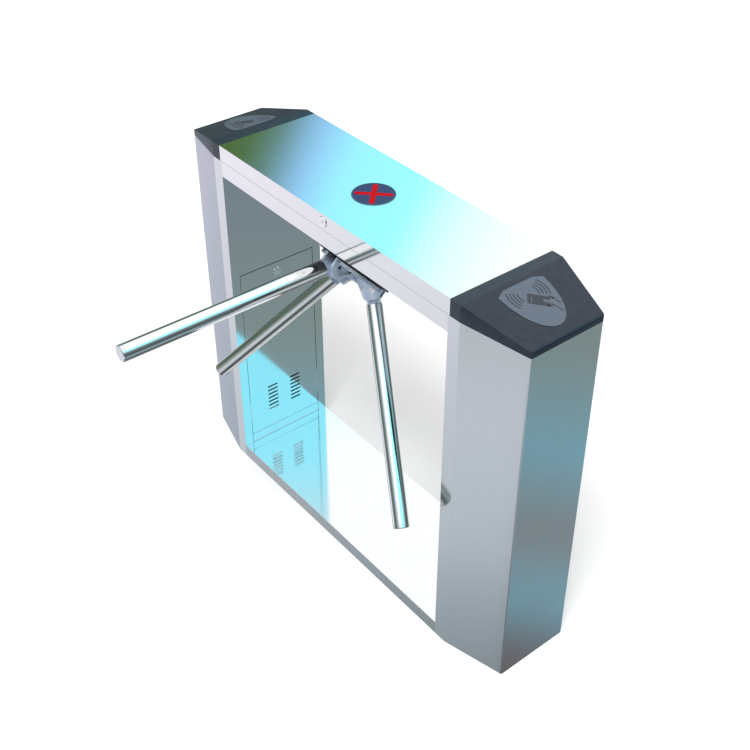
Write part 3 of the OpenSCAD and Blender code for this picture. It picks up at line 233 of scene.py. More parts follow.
def finish(
    name, colour, metallic, roughness, *, stretch=None, grain=None, texture=None, wear_and_highlight=0.0,
    wear_and_highlight_colour=(0.8, 0.8, 0.8), smudge=0.06, **fixed
):
    """A finished surface on one Principled shader.

    grain is (scale, tone, height) of belt lines, long along the axis with the small stretch, and texture the same for
    pits and bumps. Heights are in metres. The edge amount is how far the outward edges take the edge colour: real wear
    on most finishes, and on the hub casting and the cap partly a painted highlight. smudge is how much roughness the
    smudges add. fixed sets the shader's other sockets by name.
    """
    material = bpy.data.materials.new(name)
    material.use_nodes = True
    material.diffuse_color = (*colour, 1)
    material.metallic = metallic
    material.roughness = roughness
    tree = material.node_tree
    shader = tree.nodes["Principled BSDF"]
    shader.inputs["Metallic"].default_value = metallic
    for key, value in fixed.items():
        shader.inputs[key.replace("_", " ")].default_value = value
    position = add(tree, "ShaderNodeTexCoord").outputs["Object"]
    base = colour
    marks = use_group(tree, SMUDGES, position, Scale=SMUDGE_SCALE).outputs["Mask"]
    rough = spread(tree, marks, 0, 1, roughness, roughness + smudge)
    height = None
    for group, values, extra in ((GRAIN, grain, {"Stretch": stretch}), (TEXTURE, texture, {})):
        if not values:
            continue
        scale, tone, depth = values
        node = use_group(tree, group, position, Scale=scale, **extra)
        dark = tuple(c * (1 - tone) for c in colour)
        base = mixed(tree, node.outputs["Tone"], dark, base)
        shift = spread(tree, node.outputs["Tone"], 0, 1, -tone * TONE_IN_GLOSS, tone * TONE_IN_GLOSS)
        total = add(tree, "ShaderNodeMath", operation="ADD")
        tree.links.new(rough, total.inputs[0])
        tree.links.new(shift, total.inputs[1])
        rough = total.outputs[0]
        if depth:
            height = times(tree, node.outputs["Height"], depth)
    if wear_and_highlight:
        mask = use_group(tree, WEAR_AND_HIGHLIGHT, position, Amount=wear_and_highlight).outputs["Mask"]
        base = mixed(tree, mask, base, wear_and_highlight_colour)
    if height is not None:
        bump = add(tree, "ShaderNodeBump", Strength=1.0, Distance=1.0)
        tree.links.new(height, bump.inputs["Height"])
        tree.links.new(bump.outputs[0], shader.inputs["Normal"])
    tree.links.new(base, shader.inputs["Base Color"])
    tree.links.new(rough, shader.inputs["Roughness"])
    return material


# Finishes of this turnstile, named for the pieces they are on

POLISHED_SHEET = finish(
    "polished stainless sheet", (0.78, 0.79, 0.80), 1, 0.07, stretch=(0.04, 1, 1), grain=(900, 0.05, 0.000002),
    smudge=0.03,
)
SATIN_LEG = finish(
    "satin stainless leg", (0.66, 0.68, 0.70), 1, 0.10, stretch=(1, 1, 0.03), grain=(800, 0.06, 0.000002),
    smudge=0.03,
)
# The rail's sides: a brushed, rougher finish, and a darker colour than the polished top as painted shade.
BRUSHED_SHADED_RAIL_SIDE = finish(
    "brushed rail side with painted shade", (0.50, 0.53, 0.54), 1, 0.28, stretch=(0.04, 1, 1), grain=(700, 0.08, 0.000004),
    smudge=0.04,
)
INNER_PANEL = finish(
    "polished inner panel", (0.70, 0.73, 0.75), 1, 0.09, stretch=(1, 1, 0.04), grain=(900, 0.05, 0.000002),
    smudge=0.03,
)
MILL_STEEL = finish(
    "mill finish steel", (0.52, 0.53, 0.54), 1, 0.38, texture=(240, 0.12, 0.00001), smudge=0.1,
)
# Its outward edges are lightened to a dull blue: partly scuffs, partly a painted highlight on its rounded edges such as
# the nose lip.
CAP_PLASTIC = finish(
    "satin cap plastic", (0.010, 0.018, 0.031), 0, 0.30, texture=(1300, 0.05, 0.00001), wear_and_highlight=0.1,
    wear_and_highlight_colour=(0.06, 0.075, 0.10), smudge=0.01, Specular_IOR_Level=0.33,
)
PLAQUE_PRINT = finish(
    "card plaque", (0.078, 0.104, 0.142), 0, 0.36, texture=(1500, 0.06, 0.00001), smudge=0.06,
)
PICTOGRAM_INK = finish(
    "pictogram ink", (0.022, 0.028, 0.036), 0, 0.45, texture=(1500, 0.05, 0.0), smudge=0.04,
)
# Its outward edges are lightened to a pale blue: partly wear, partly a painted highlight on the rounded rims of the
# hub, its lugs and the arm roots.
HUB_CASTING = finish(
    "satin hub casting", (0.50, 0.60, 0.75), 0.6, 0.42, texture=(520, 0.08, 0.00002), wear_and_highlight=0.5,
    wear_and_highlight_colour=(0.75, 0.82, 0.90), smudge=0.06,
)
BLOCK_CASTING = finish(
    "plain block casting", (0.48, 0.50, 0.52), 1, 0.46, texture=(420, 0.16, 0.00004), wear_and_highlight=0.3, smudge=0.08,
)
ARM_TUBE = finish(
    "mirror arm tube", (0.82, 0.83, 0.84), 1, 0.045, stretch=(1, 1, 1), grain=(60, 0.03, 0.0), smudge=0.03,
)
ARM_TIP = finish("polished arm tip", (0.74, 0.75, 0.77), 1, 0.14, texture=(1400, 0.04, 0.0), smudge=0.05)
PIN_STEEL = finish("ground pin steel", (0.70, 0.71, 0.72), 1, 0.18, texture=(1200, 0.06, 0.0), smudge=0.05)
GEAR_BRASS = finish(
    "cut gear brass", (0.72, 0.53, 0.24), 1, 0.28, texture=(700, 0.12, 0.00001), wear_and_highlight=0.5,
    wear_and_highlight_colour=(0.90, 0.76, 0.45), smudge=0.08,
)
WHEEL_STEEL = finish(
    "hardened index wheel", (0.42, 0.43, 0.46), 1, 0.30, texture=(700, 0.14, 0.00001), wear_and_highlight=0.6, smudge=0.08,
)
HOUSING_COAT = finish(
    "dark housing powder coat", (0.035, 0.038, 0.043), 0, 0.5, texture=(900, 0.15, 0.00004), wear_and_highlight=0.4,
    wear_and_highlight_colour=(0.20, 0.20, 0.20), smudge=0.06,
)
HUB_PLATE = finish("black hub plate", (0.013, 0.014, 0.017), 0, 0.33, texture=(1200, 0.1, 0.00001), smudge=0.08)
COIL_LACQUER = finish(
    "solenoid coil lacquer", (0.25, 0.035, 0.025), 0, 0.32, stretch=(1, 1, 1), grain=(420, 0.2, 0.00002), smudge=0.05,
    Coat_Weight=0.4, Coat_Roughness=0.2,
)
BOARD_GREEN = finish(
    "circuit board", (0.012, 0.11, 0.045), 0, 0.34, texture=(380, 0.35, 0.00001), smudge=0.05, Coat_Weight=0.3,
)
COPPER_WIRE = finish(
    "enamelled copper wire", (0.50, 0.15, 0.06), 1, 0.26, texture=(900, 0.12, 0.0), smudge=0.04,
)
CHIP_BLACK = finish("chip package", (0.012, 0.012, 0.013), 0, 0.5, texture=(1600, 0.2, 0.00001))
CONNECTOR_WHITE = finish("connector shell", (0.72, 0.70, 0.62), 0, 0.4, texture=(1200, 0.06, 0.0))
LENS = finish(
    "smoked indicator lens", (0.026, 0.038, 0.115), 0, 0.25, texture=(500, 0.12, 0.000004), smudge=0.05,
    Specular_IOR_Level=0.12,
)
LIT_BAR = finish(
    "lit red bar", (0.42, 0.001, 0.004), 0, 0.3, texture=(700, 0.12, 0.0), smudge=0.03,
    Specular_IOR_Level=0.02, Emission_Color=(1, 0.01, 0.02, 1), Emission_Strength=0.06,
)
BEZEL = finish("indicator bezel", (0.008, 0.030, 0.080), 0, 0.22, texture=(900, 0.1, 0.0), smudge=0.05, Coat_Weight=0.5)
LOCK_CHROME = finish("lock chrome", (0.85, 0.86, 0.87), 1, 0.07, texture=(900, 0.04, 0.0), smudge=0.05)


# Which finish each solid takes, and how far its sharp edges are broken in millimetres (0 leaves the solid as it is)

FINISHES = {
    "base_rail": (POLISHED_SHEET, 0.8), "bridge_channel": (POLISHED_SHEET, 0.4), "top_cover": (POLISHED_SHEET, 0.6),
    "near_leg_shell": (SATIN_LEG, 0.4), "far_leg_shell": (SATIN_LEG, 0.4),
    "near_upper_panel": (INNER_PANEL, 0.4), "far_upper_panel": (INNER_PANEL, 0.4),
    "near_door": (INNER_PANEL, 0.3), "far_door": (INNER_PANEL, 0.3),
    "near_foot": (MILL_STEEL, 0.4), "far_foot": (MILL_STEEL, 0.4),
    "lid_hinge": (MILL_STEEL, 0), "lid_leaf": (MILL_STEEL, 0), "block_bolts": (MILL_STEEL, 0),
    "shaft_nut": (MILL_STEEL, 0),
    "near_reader_cap": (CAP_PLASTIC, 0.8), "far_reader_cap": (CAP_PLASTIC, 0.8),
    "near_card_plaque": (PLAQUE_PRINT, 0.3), "far_card_plaque": (PLAQUE_PRINT, 0.3),
    "reader_boards": (BOARD_GREEN, 0), "sensor_board": (BOARD_GREEN, 0), "control_board": (BOARD_GREEN, 0),
    "mechanism_housing": (HOUSING_COAT, 0.5), "power_supply": (HOUSING_COAT, 0.5),
    "hub_plate": (HUB_PLATE, 0.4), "damper_body": (HUB_PLATE, 0.4),
    "bearing_block": (BLOCK_CASTING, 0.8), "rotor_hub": (HUB_CASTING, 0.8),
    "front_bearing": (PIN_STEEL, 0), "rear_bearing": (PIN_STEEL, 0), "main_shaft": (PIN_STEEL, 0.3),
    "pivot_pins": (PIN_STEEL, 0.5), "entry_plunger": (PIN_STEEL, 0), "exit_plunger": (PIN_STEEL, 0),
    "entry_pawl": (WHEEL_STEEL, 0.3), "exit_pawl": (WHEEL_STEEL, 0.3), "index_wheel": (WHEEL_STEEL, 0),
    "sensor_disc": (PIN_STEEL, 0), "drive_gear": (GEAR_BRASS, 0), "damper_pinion": (GEAR_BRASS, 0),
    "entry_solenoid": (COIL_LACQUER, 0), "exit_solenoid": (COIL_LACQUER, 0),
    "indicator_bezel": (BEZEL, 0.3), "indicator_lens": (LENS, 0.3), "indicator_lights": (LIT_BAR, 0.3),
    "lid_lock_barrel": (LOCK_CHROME, 0.3), "near_lock_barrel": (LOCK_CHROME, 0.3),
    "far_lock_barrel": (LOCK_CHROME, 0.3), "lid_lock_plug": (LOCK_CHROME, 0.2),
    "near_lock_plug": (LOCK_CHROME, 0.2), "far_lock_plug": (LOCK_CHROME, 0.2),
    "level_arm_tube": (ARM_TUBE, 0.3), "far_arm_tube": (ARM_TUBE, 0.3), "near_arm_tube": (ARM_TUBE, 0.3),
    "level_arm_root": (HUB_CASTING, 0.5), "far_arm_root": (HUB_CASTING, 0.5), "near_arm_root": (HUB_CASTING, 0.5),
    "level_arm_tip": (ARM_TIP, 0.6), "far_arm_tip": (ARM_TIP, 0.6), "near_arm_tip": (ARM_TIP, 0.6),
}
# Faces that look these ways take another finish: the rail's sides, brushed and with painted shade that makes them
# darker than the top, the faces of legs and feet toward the arch, and the underside of the indicator's light board
SECOND_FINISH = {
    "base_rail": (BRUSHED_SHADED_RAIL_SIDE, ((0, -1, 0), (0, 1, 0))),
    "near_leg_shell": (INNER_PANEL, ((-1, 0, 0),)),
    "far_leg_shell": (INNER_PANEL, ((1, 0, 0),)),
    "near_foot": (INNER_PANEL, ((-1, 0, 0),)),
    "far_foot": (INNER_PANEL, ((1, 0, 0),)),
    "indicator_lights": (BOARD_GREEN, ((0, 0, -1),)),
}
BODY_OF = {node: body for body, names in frame["record"]["behaviour"]["bodies"].items() for node in names}


WELD = 0.000002  # points nearer than this are one
FLAT = math.radians(0.3)  # faces that meet at less are one
ROUND = math.radians(28)  # faces that meet at less are smooth
SHARP = math.radians(35)  # edges over this are broken
LOOKS = 0.7  # a face looks a way when its normal reaches this far along it


def broken_edges(node, material, width):
    """A merged copy of a solid with its sharp edges broken and its rounds smooth; it stands for the solid."""
    mesh = NODES[node].data.copy()
    shape = bmesh.new()
    shape.from_mesh(mesh)
    bmesh.ops.remove_doubles(shape, verts=shape.verts, dist=WELD)
    bmesh.ops.dissolve_limit(shape, angle_limit=FLAT, verts=shape.verts, edges=shape.edges)
    shape.to_mesh(mesh)
    shape.free()
    piece = bpy.data.objects.new(node + "_dressed", mesh)
    bpy.context.scene.collection.objects.link(piece)
    mesh.materials.clear()
    mesh.materials.append(material)
    if node in SECOND_FINISH:
        second, ways = SECOND_FINISH[node]
        mesh.materials.append(second)
        for face in mesh.polygons:
            if any(face.normal.dot(way) > LOOKS for way in ways):
                face.material_index = 1
    mesh.polygons.foreach_set("use_smooth", [True] * len(mesh.polygons))
    mesh.set_sharp_from_angle(angle=ROUND)
    bevel = piece.modifiers.new("broken edges", "BEVEL")
    bevel.width = width * MM
    bevel.segments = 2
    bevel.limit_method = "ANGLE"
    bevel.angle_limit = SHARP
    bevel.harden_normals = True
    bevel.use_clamp_overlap = True
    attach(piece, BODY_OF[node])
    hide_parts(node)


def dress_solids():
    for node, (material, width) in FINISHES.items():
        if width:
            broken_edges(node, material, width)
        else:
            NODES[node].data.materials.clear()
            NODES[node].data.materials.append(material)


# Geometry Nodes trees for what repeats, each built once and run with its own sizes

def new_shape_tree(name, inputs, points=False):
    """An empty tree with named inputs; with points=True it starts from the points it is given."""
    tree = bpy.data.node_groups.new(name, "GeometryNodeTree")
    if points:
        tree.interface.new_socket("Points", in_out="INPUT", socket_type="NodeSocketGeometry")
    for label, kind, value in inputs:
        tree.interface.new_socket(label, in_out="INPUT", socket_type=kind).default_value = value
    tree.interface.new_socket("Finish", in_out="INPUT", socket_type="NodeSocketMaterial")
    tree.interface.new_socket("Shape", in_out="OUTPUT", socket_type="NodeSocketGeometry")
    return tree, tree.nodes.new("NodeGroupInput"), tree.nodes.new("NodeGroupOutput")


def end_shape_tree(tree, start, end, shape):
    """Every tree ends in real geometry with its finish on it."""
    real = tree.nodes.new("GeometryNodeRealizeInstances")
    coat = tree.nodes.new("GeometryNodeSetMaterial")
    tree.links.new(shape, real.inputs["Geometry"])
    tree.links.new(real.outputs["Geometry"], coat.inputs["Geometry"])
    tree.links.new(start.outputs["Finish"], coat.inputs["Material"])
    tree.links.new(coat.outputs["Geometry"], end.inputs["Shape"])


def joined(tree, shapes):
    node = tree.nodes.new("GeometryNodeJoinGeometry")
    for shape in shapes:
        tree.links.new(shape, node.inputs["Geometry"])
    return node.outputs["Geometry"]


def moved(tree, shape, shift=None, turn=None):
    node = tree.nodes.new("GeometryNodeTransform")
    tree.links.new(shape, node.inputs["Geometry"])
    if shift is not None:
        tree.links.new(shift, node.inputs["Translation"])
    if turn is not None:
        node.inputs["Rotation"].default_value = turn
    return node.outputs["Geometry"]


def along_z(tree, height):
    """A vector straight up by a value."""
    node = tree.nodes.new("ShaderNodeCombineXYZ")
    tree.links.new(height, node.inputs["Z"])
    return node.outputs["Vector"]


WAVES = 4
WAVE_POINTS = 17
HEAD_SIDES = 18
SOCKET_DEPTH = 0.6  # of the head's height
WIRE_SIDES = 10


def make_radio_waves():
    """Four growing arcs on each side of a middle point, printed on a plane."""
    tree, start, end = new_shape_tree(
        "Radio waves",
        [("First radius", FLOAT, 0.024), ("Step", FLOAT, 0.0075), ("Half angle", FLOAT, 0.5),
         ("Line width", FLOAT, 0.0026), ("Ink height", FLOAT, 0.0001)],
    )
    line = tree.nodes.new("GeometryNodeCurvePrimitiveQuadrilateral")
    tree.links.new(start.outputs["Line width"], line.inputs["Width"])
    tree.links.new(start.outputs["Ink height"], line.inputs["Height"])
    from_angle = plus(tree, times(tree, start.outputs["Half angle"], -1), math.pi / 2)
    whole_angle = times(tree, start.outputs["Half angle"], 2)
    waves = []
    for k in range(WAVES):
        arc = tree.nodes.new("GeometryNodeCurveArc")
        arc.inputs["Resolution"].default_value = WAVE_POINTS
        tree.links.new(plus(tree, start.outputs["First radius"], start.outputs["Step"], k), arc.inputs["Radius"])
        tree.links.new(from_angle, arc.inputs["Start Angle"])
        tree.links.new(whole_angle, arc.inputs["Sweep Angle"])
        flat = tree.nodes.new("GeometryNodeSetCurveNormal")
        flat.mode = "Z_UP"
        tree.links.new(arc.outputs["Curve"], flat.inputs["Curve"])
        ribbon = tree.nodes.new("GeometryNodeCurveToMesh")
        ribbon.inputs["Fill Caps"].default_value = True
        tree.links.new(flat.outputs["Curve"], ribbon.inputs["Curve"])
        tree.links.new(line.outputs["Curve"], ribbon.inputs["Profile Curve"])
        waves.append(ribbon.outputs["Mesh"])
    side = joined(tree, waves)
    end_shape_tree(tree, start, end, joined(tree, [side, moved(tree, side, turn=(0, 0, math.pi))]))
    return tree


def make_screw_heads():
    """A round screw head with a sunk socket at every point."""
    tree, start, end = new_shape_tree(
        "Screw heads",
        [("Head radius", FLOAT, 0.003), ("Head height", FLOAT, 0.0018), ("Socket share", FLOAT, 0.5)],
        points=True,
    )
    head = tree.nodes.new("GeometryNodeMeshCylinder")
    head.inputs["Vertices"].default_value = HEAD_SIDES
    tree.links.new(start.outputs["Head radius"], head.inputs["Radius"])
    tree.links.new(start.outputs["Head height"], head.inputs["Depth"])
    rim = tree.nodes.new("GeometryNodeExtrudeMesh")
    rim.inputs["Offset Scale"].default_value = 0
    tree.links.new(head.outputs["Mesh"], rim.inputs["Mesh"])
    tree.links.new(head.outputs["Top"], rim.inputs["Selection"])
    narrow = tree.nodes.new("GeometryNodeScaleElements")
    tree.links.new(rim.outputs["Mesh"], narrow.inputs["Geometry"])
    tree.links.new(rim.outputs["Top"], narrow.inputs["Selection"])
    tree.links.new(start.outputs["Socket share"], narrow.inputs["Scale"])
    sunk = tree.nodes.new("GeometryNodeExtrudeMesh")
    tree.links.new(narrow.outputs["Geometry"], sunk.inputs["Mesh"])
    tree.links.new(rim.outputs["Top"], sunk.inputs["Selection"])
    tree.links.new(times(tree, start.outputs["Head height"], -SOCKET_DEPTH), sunk.inputs["Offset Scale"])
    raised = moved(tree, sunk.outputs["Mesh"], along_z(tree, times(tree, start.outputs["Head height"], 0.5)))
    heads = tree.nodes.new("GeometryNodeInstanceOnPoints")
    tree.links.new(start.outputs["Points"], heads.inputs["Points"])
    tree.links.new(raised, heads.inputs["Instance"])
    end_shape_tree(tree, start, end, heads.outputs["Instances"])
    return tree


def make_chip_rows():
    """Rows of flat packages of mixed sizes on a board."""
    tree, start, end = new_shape_tree(
        "Chip rows",
        [("Length", FLOAT, 0.1), ("Width", FLOAT, 0.05), ("Columns", WHOLE, 6), ("Rows", WHOLE, 3),
         ("Chip length", FLOAT, 0.010), ("Chip width", FLOAT, 0.007), ("Chip height", FLOAT, 0.002),
         ("Smallest", FLOAT, 0.35), ("Seed", WHOLE, 3)],
    )
    grid = tree.nodes.new("GeometryNodeMeshGrid")
    for label, socket in (
        ("Length", "Size X"), ("Width", "Size Y"), ("Columns", "Vertices X"), ("Rows", "Vertices Y"),
    ):
        tree.links.new(start.outputs[label], grid.inputs[socket])
    size = tree.nodes.new("ShaderNodeCombineXYZ")
    for label, socket in (("Chip length", "X"), ("Chip width", "Y"), ("Chip height", "Z")):
        tree.links.new(start.outputs[label], size.inputs[socket])
    chip = tree.nodes.new("GeometryNodeMeshCube")
    tree.links.new(size.outputs["Vector"], chip.inputs["Size"])
    standing = moved(tree, chip.outputs["Mesh"], along_z(tree, times(tree, start.outputs["Chip height"], 0.5)))
    mix = tree.nodes.new("FunctionNodeRandomValue")
    mix.data_type = "FLOAT_VECTOR"
    least = tree.nodes.new("ShaderNodeCombineXYZ")
    for axis in "XYZ":
        tree.links.new(start.outputs["Smallest"], least.inputs[axis])
    tree.links.new(least.outputs["Vector"], mix.inputs["Min"])
    mix.inputs["Max"].default_value = (1, 1, 1)
    seed = next(s for s in mix.inputs if s.name == "Seed")
    tree.links.new(start.outputs["Seed"], seed)
    rows = tree.nodes.new("GeometryNodeInstanceOnPoints")
    tree.links.new(grid.outputs["Mesh"], rows.inputs["Points"])
    tree.links.new(standing, rows.inputs["Instance"])
    tree.links.new(mix.outputs["Value"], rows.inputs["Scale"])
    end_shape_tree(tree, start, end, rows.outputs["Instances"])
    return tree


def make_wire_row():
    """Straight turns of wire side by side, along X, each standing on Z."""
    tree, start, end = new_shape_tree(
        "Wire row", [("Turns", WHOLE, 12), ("Wire radius", FLOAT, 0.0008), ("Turn height", FLOAT, 0.02)]
    )
    wire = tree.nodes.new("GeometryNodeMeshCylinder")
    wire.inputs["Vertices"].default_value = WIRE_SIDES
    tree.links.new(start.outputs["Wire radius"], wire.inputs["Radius"])
    tree.links.new(start.outputs["Turn height"], wire.inputs["Depth"])
    line = tree.nodes.new("GeometryNodeMeshLine")
    step = tree.nodes.new("ShaderNodeCombineXYZ")
    tree.links.new(times(tree, start.outputs["Wire radius"], 2), step.inputs["X"])
    tree.links.new(start.outputs["Turns"], line.inputs["Count"])
    tree.links.new(step.outputs["Vector"], line.inputs["Offset"])
    row = tree.nodes.new("GeometryNodeInstanceOnPoints")
    tree.links.new(line.outputs["Mesh"], row.inputs["Points"])
    tree.links.new(wire.outputs["Mesh"], row.inputs["Instance"])
    end_shape_tree(tree, start, end, row.outputs["Instances"])
    return tree


def grow(name, tree, material, body, slot, place, points=(), **sizes):
    """Runs a tree with its sizes and leaves a plain mesh at its place on a body."""
    mesh = bpy.data.meshes.new(name)
    mesh.from_pydata([tuple(v) for v in points], [], [])
    piece = bpy.data.objects.new(name, mesh)
    bpy.context.scene.collection.objects.link(piece)
    modifier = piece.modifiers.new(tree.name, "NODES")
    modifier.node_group = tree
    for item in tree.interface.items_tree:
        if item.in_out == "INPUT" and item.name == "Finish":
            modifier[item.identifier] = material
        elif item.in_out == "INPUT" and item.name.replace(" ", "_") in sizes:
            modifier[item.identifier] = sizes[item.name.replace(" ", "_")]
    shape = bpy.data.meshes.new_from_object(piece.evaluated_get(bpy.context.evaluated_depsgraph_get()))
    piece.modifiers.clear()
    shape.materials.clear()
    shape.materials.append(material)
    shape.transform(place)
    piece.data = shape
    face_outward(shape)
    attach(piece, body)


def face_outward(mesh):
    shape = bmesh.new()
    shape.from_mesh(mesh)
    bmesh.ops.remove_doubles(shape, verts=shape.verts, dist=WELD)
    bmesh.ops.recalc_face_normals(shape, faces=shape.faces)
    shape.to_mesh(mesh)
    shape.free()


# The pictogram on both plaques: a hand holds a card between radio waves

SLOPE_CREASE = (0.443, 0, 0.980)
SLOPE_TURN = math.atan2(0.041, 0.157)  # its fall over its run
PLAQUE_TOP = 0.0012  # over the slope
INK = 0.0001
WAVES_AT = 0.0435  # down the slope
CORNER_STEPS = 5
# Bars on the plaque in millimetres: both ends (down the slope, across it), half the width, radius of the corners
CARD = ((51.4, -10.4), (81.6, 24.4), 13.5, 2.5)
HAND = (
    ((86, 24), (114, 33), 1.5, 1.4), ((74, 37), (95, 43), 1.5, 1.4),
    ((86, 12), (92, 23), 3, 2.9), ((68, 33), (79, 38), 3, 2.9),
)
THUMB_AND_STRIPE = (((50.5, 1.2), (65.0, -11.4), 0.8, 0.7), ((72, 14), (84, 28), 3.2, 3.1))


def slope_place(far):
    """From the slope's plane (X down the slope from its crease, Y across) to the cabinet, at either end."""
    place = Matrix.Translation(SLOPE_CREASE) @ Matrix.Rotation(SLOPE_TURN, 4, "Y")
    return (Matrix.Rotation(math.pi, 4, "Z") if far else Matrix.Identity(4)) @ place


def rounded_bar(a, b, half_width, corner):
    """Outline of a bar from a to b in the plane, with rounded corners, in millimetres."""
    a, b = Vector(a), Vector(b)
    along = (b - a).normalized()
    across = Vector((-along.y, along.x))
    half_l = (b - a).length / 2
    middle = (a + b) / 2
    outline = []
    for quarter, (sx, sy) in enumerate(((1, 1), (-1, 1), (-1, -1), (1, -1))):
        centre = middle + along * sx * (half_l - corner) + across * sy * (half_width - corner)
        for step in range(CORNER_STEPS + 1):
            angle = math.pi / 2 * (quarter + step / CORNER_STEPS)
            outline.append(centre + (along * math.cos(angle) + across * math.sin(angle)) * corner)
    return outline


def print_mark(name, bars, material, low, high, far):
    """Flat printed bars on the plaque, from one height to another."""
    shape = bmesh.new()
    for bar in bars:
        bottom = [shape.verts.new((p.x * MM, p.y * MM, low)) for p in rounded_bar(*bar)]
        raised = bmesh.ops.extrude_face_region(shape, geom=[shape.faces.new(bottom)])
        for part in raised["geom"]:
            if isinstance(part, bmesh.types.BMVert):
                part.co.z = high
    bmesh.ops.recalc_face_normals(shape, faces=shape.faces)
    mesh = bpy.data.meshes.new(name)
    shape.to_mesh(mesh)
    shape.free()
    mesh.transform(slope_place(far))
    mesh.materials.append(material)
    piece = bpy.data.objects.new(name, mesh)
    bpy.context.scene.collection.objects.link(piece)
    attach(piece, "root")


def print_pictograms():
    waves = make_radio_waves()
    for end, far in (("near", False), ("far", True)):
        top = PLAQUE_TOP
        print_mark(end + "_pictogram_card", (CARD, *HAND), PICTOGRAM_INK, top - INK, top + INK, far)
        print_mark(
            end + "_pictogram_thumb", THUMB_AND_STRIPE, PLAQUE_PRINT, top, top + 2 * INK, far
        )
        grow(
            end + "_pictogram_waves", waves, PICTOGRAM_INK, "root", "cap_plastic",
            slope_place(far) @ Matrix.Translation((WAVES_AT, 0, top)), First_radius=0.024, Step=0.0075,
            Half_angle=0.5, Line_width=0.0026, Ink_height=2 * INK,
        )


# Parts on the boards, behind the doors and under the lid

BOARD_FRONT = -0.5864  # along X, in the far leg
SUPPLY_FRONT = 0.556  # along X, in the near leg
TERMINAL_HEIGHT = 0.009
# Terminal strips: height over the floor, width, number of terminals, and length and width of each
BOARD_STRIP = (0.268, 0.108, 12, 0.008, 0.0078)
SUPPLY_STRIP = (0.274, 0.070, 8, 0.012, 0.0085)
ROTOR_AT = (-0.013, -0.0072, 0.8325)
ROTOR_TILT = 42.5  # degrees
WIRE_RADIUS = 0.00072
WINDING_TURNS = 15
WINDING_START = 0.0070  # along the cabinet, from the middle between both solenoids
WINDING_ROWS = (("low", 0.05372), ("high", 0.07802))  # up the tilted face
WINDING_MIDDLE = -0.01375  # along the shaft
TURN_HEIGHT = 0.0265


def axis_place():
    """The rotor's own frame: X along the cabinet, Y up the tilted face, Z along the shaft to the arms."""
    return Matrix.Translation(ROTOR_AT) @ Matrix.Rotation(math.radians(90 + ROTOR_TILT), 4, "X")


def fit_terminals(name, chips, material, slot, place, strip):
    """A strip of equal terminals side by side."""
    _, reach, count, length, width = strip
    grow(
        name, chips, material, "root", slot, place, Length=0.001, Width=reach, Columns=1, Rows=count,
        Chip_length=length, Chip_width=width, Chip_height=TERMINAL_HEIGHT, Smallest=1.0, Seed=0,
    )


def fit_control_board(chips, heads):
    """Chips, a terminal strip and four screws on the board in the far leg. X points down on its face."""
    face = Matrix.Translation((BOARD_FRONT, 0, 0)) @ Matrix.Rotation(math.pi / 2, 4, "Y")
    for name, z, columns, height, smallest, seed in (
        ("control_chips_low", 0.305, 4, 0.003, 0.35, 5), ("control_chips_high", 0.420, 3, 0.004, 0.4, 8),
    ):
        grow(
            name, chips, CHIP_BLACK, "root", "hub_plate_plastic", face @ Matrix.Translation((-z, 0, 0)), Length=0.060,
            Width=0.100, Columns=columns, Rows=7, Chip_length=0.012, Chip_width=0.011, Chip_height=height,
            Smallest=smallest, Seed=seed,
        )
    place = face @ Matrix.Translation((-BOARD_STRIP[0], 0, 0))
    fit_terminals("control_terminals", chips, CONNECTOR_WHITE, "tip_plastic", place, BOARD_STRIP)
    posts = [(-z, y, 0) for z in (0.266, 0.454) for y in (-0.064, 0.064)]
    grow("control_screws", heads, MILL_STEEL, "root", "plain_steel", face, points=posts, Head_radius=0.0028)


def fit_power_supply(chips, heads):
    """A terminal strip and its screws on the power supply in the near leg. X points up on its face."""
    face = Matrix.Translation((SUPPLY_FRONT, 0, 0)) @ Matrix.Rotation(-math.pi / 2, 4, "Y")
    z, reach, count = SUPPLY_STRIP[:3]
    place = face @ Matrix.Translation((z, 0, 0))
    fit_terminals("supply_terminals", chips, CHIP_BLACK, "hub_plate_plastic", place, SUPPLY_STRIP)
    posts = [(z, k / (count - 1) * reach - reach / 2, TERMINAL_HEIGHT) for k in range(count)]
    grow("supply_terminal_screws", heads, PIN_STEEL, "root", "bright_steel", face, points=posts, Head_radius=0.0026)


def wind_solenoids(turns):
    """Enamelled turns in the grooves of both solenoids, below and above."""
    row = (WINDING_TURNS - 1) * 2 * WIRE_RADIUS
    for name, start in (("entry", WINDING_START), ("exit", -WINDING_START - row)):
        for edge, u in WINDING_ROWS:
            grow(
                name + "_winding_" + edge, turns, COPPER_WIRE, "root", "gear_brass",
                axis_place() @ Matrix.Translation((start, u, WINDING_MIDDLE)), Turns=WINDING_TURNS,
                Wire_radius=WIRE_RADIUS, Turn_height=TURN_HEIGHT,
            )


def fit_corner_screws(heads):
    """Screws with sunk sockets at the corners of the bearing block, on the side away from the arms."""
    corners = [(x, u, 0) for x in (-0.076, 0.076) for u in (0.070, -0.074)]
    grow(
        "block_corner_screws", heads, MILL_STEEL, "root", "plain_steel",
        axis_place() @ Matrix.Rotation(math.pi, 4, "X"), points=corners, Head_radius=0.005, Head_height=0.003,
    )


def fit_small_parts():
    chips = make_chip_rows()
    heads = make_screw_heads()
    turns = make_wire_row()
    fit_control_board(chips, heads)
    fit_power_supply(chips, heads)
    wind_solenoids(turns)
    fit_corner_screws(heads)


# Studio: a pale floor, plain soft light, and a light tent that only glossy rays see

# Name, place, size and power of each lamp
LAMPS = (
    ("soft light over the passage", (1.6, -2.0, 5.6), 2.0, 250),
    ("soft light behind", (-2.2, 2.2, 3.0), 2.4, 15),
)
LAMPS_LOOK_AT = (0, 0, 0.5)
AIR_LIGHT = 0.65  # the air's strength where it lights the object; where it shows, it is 1


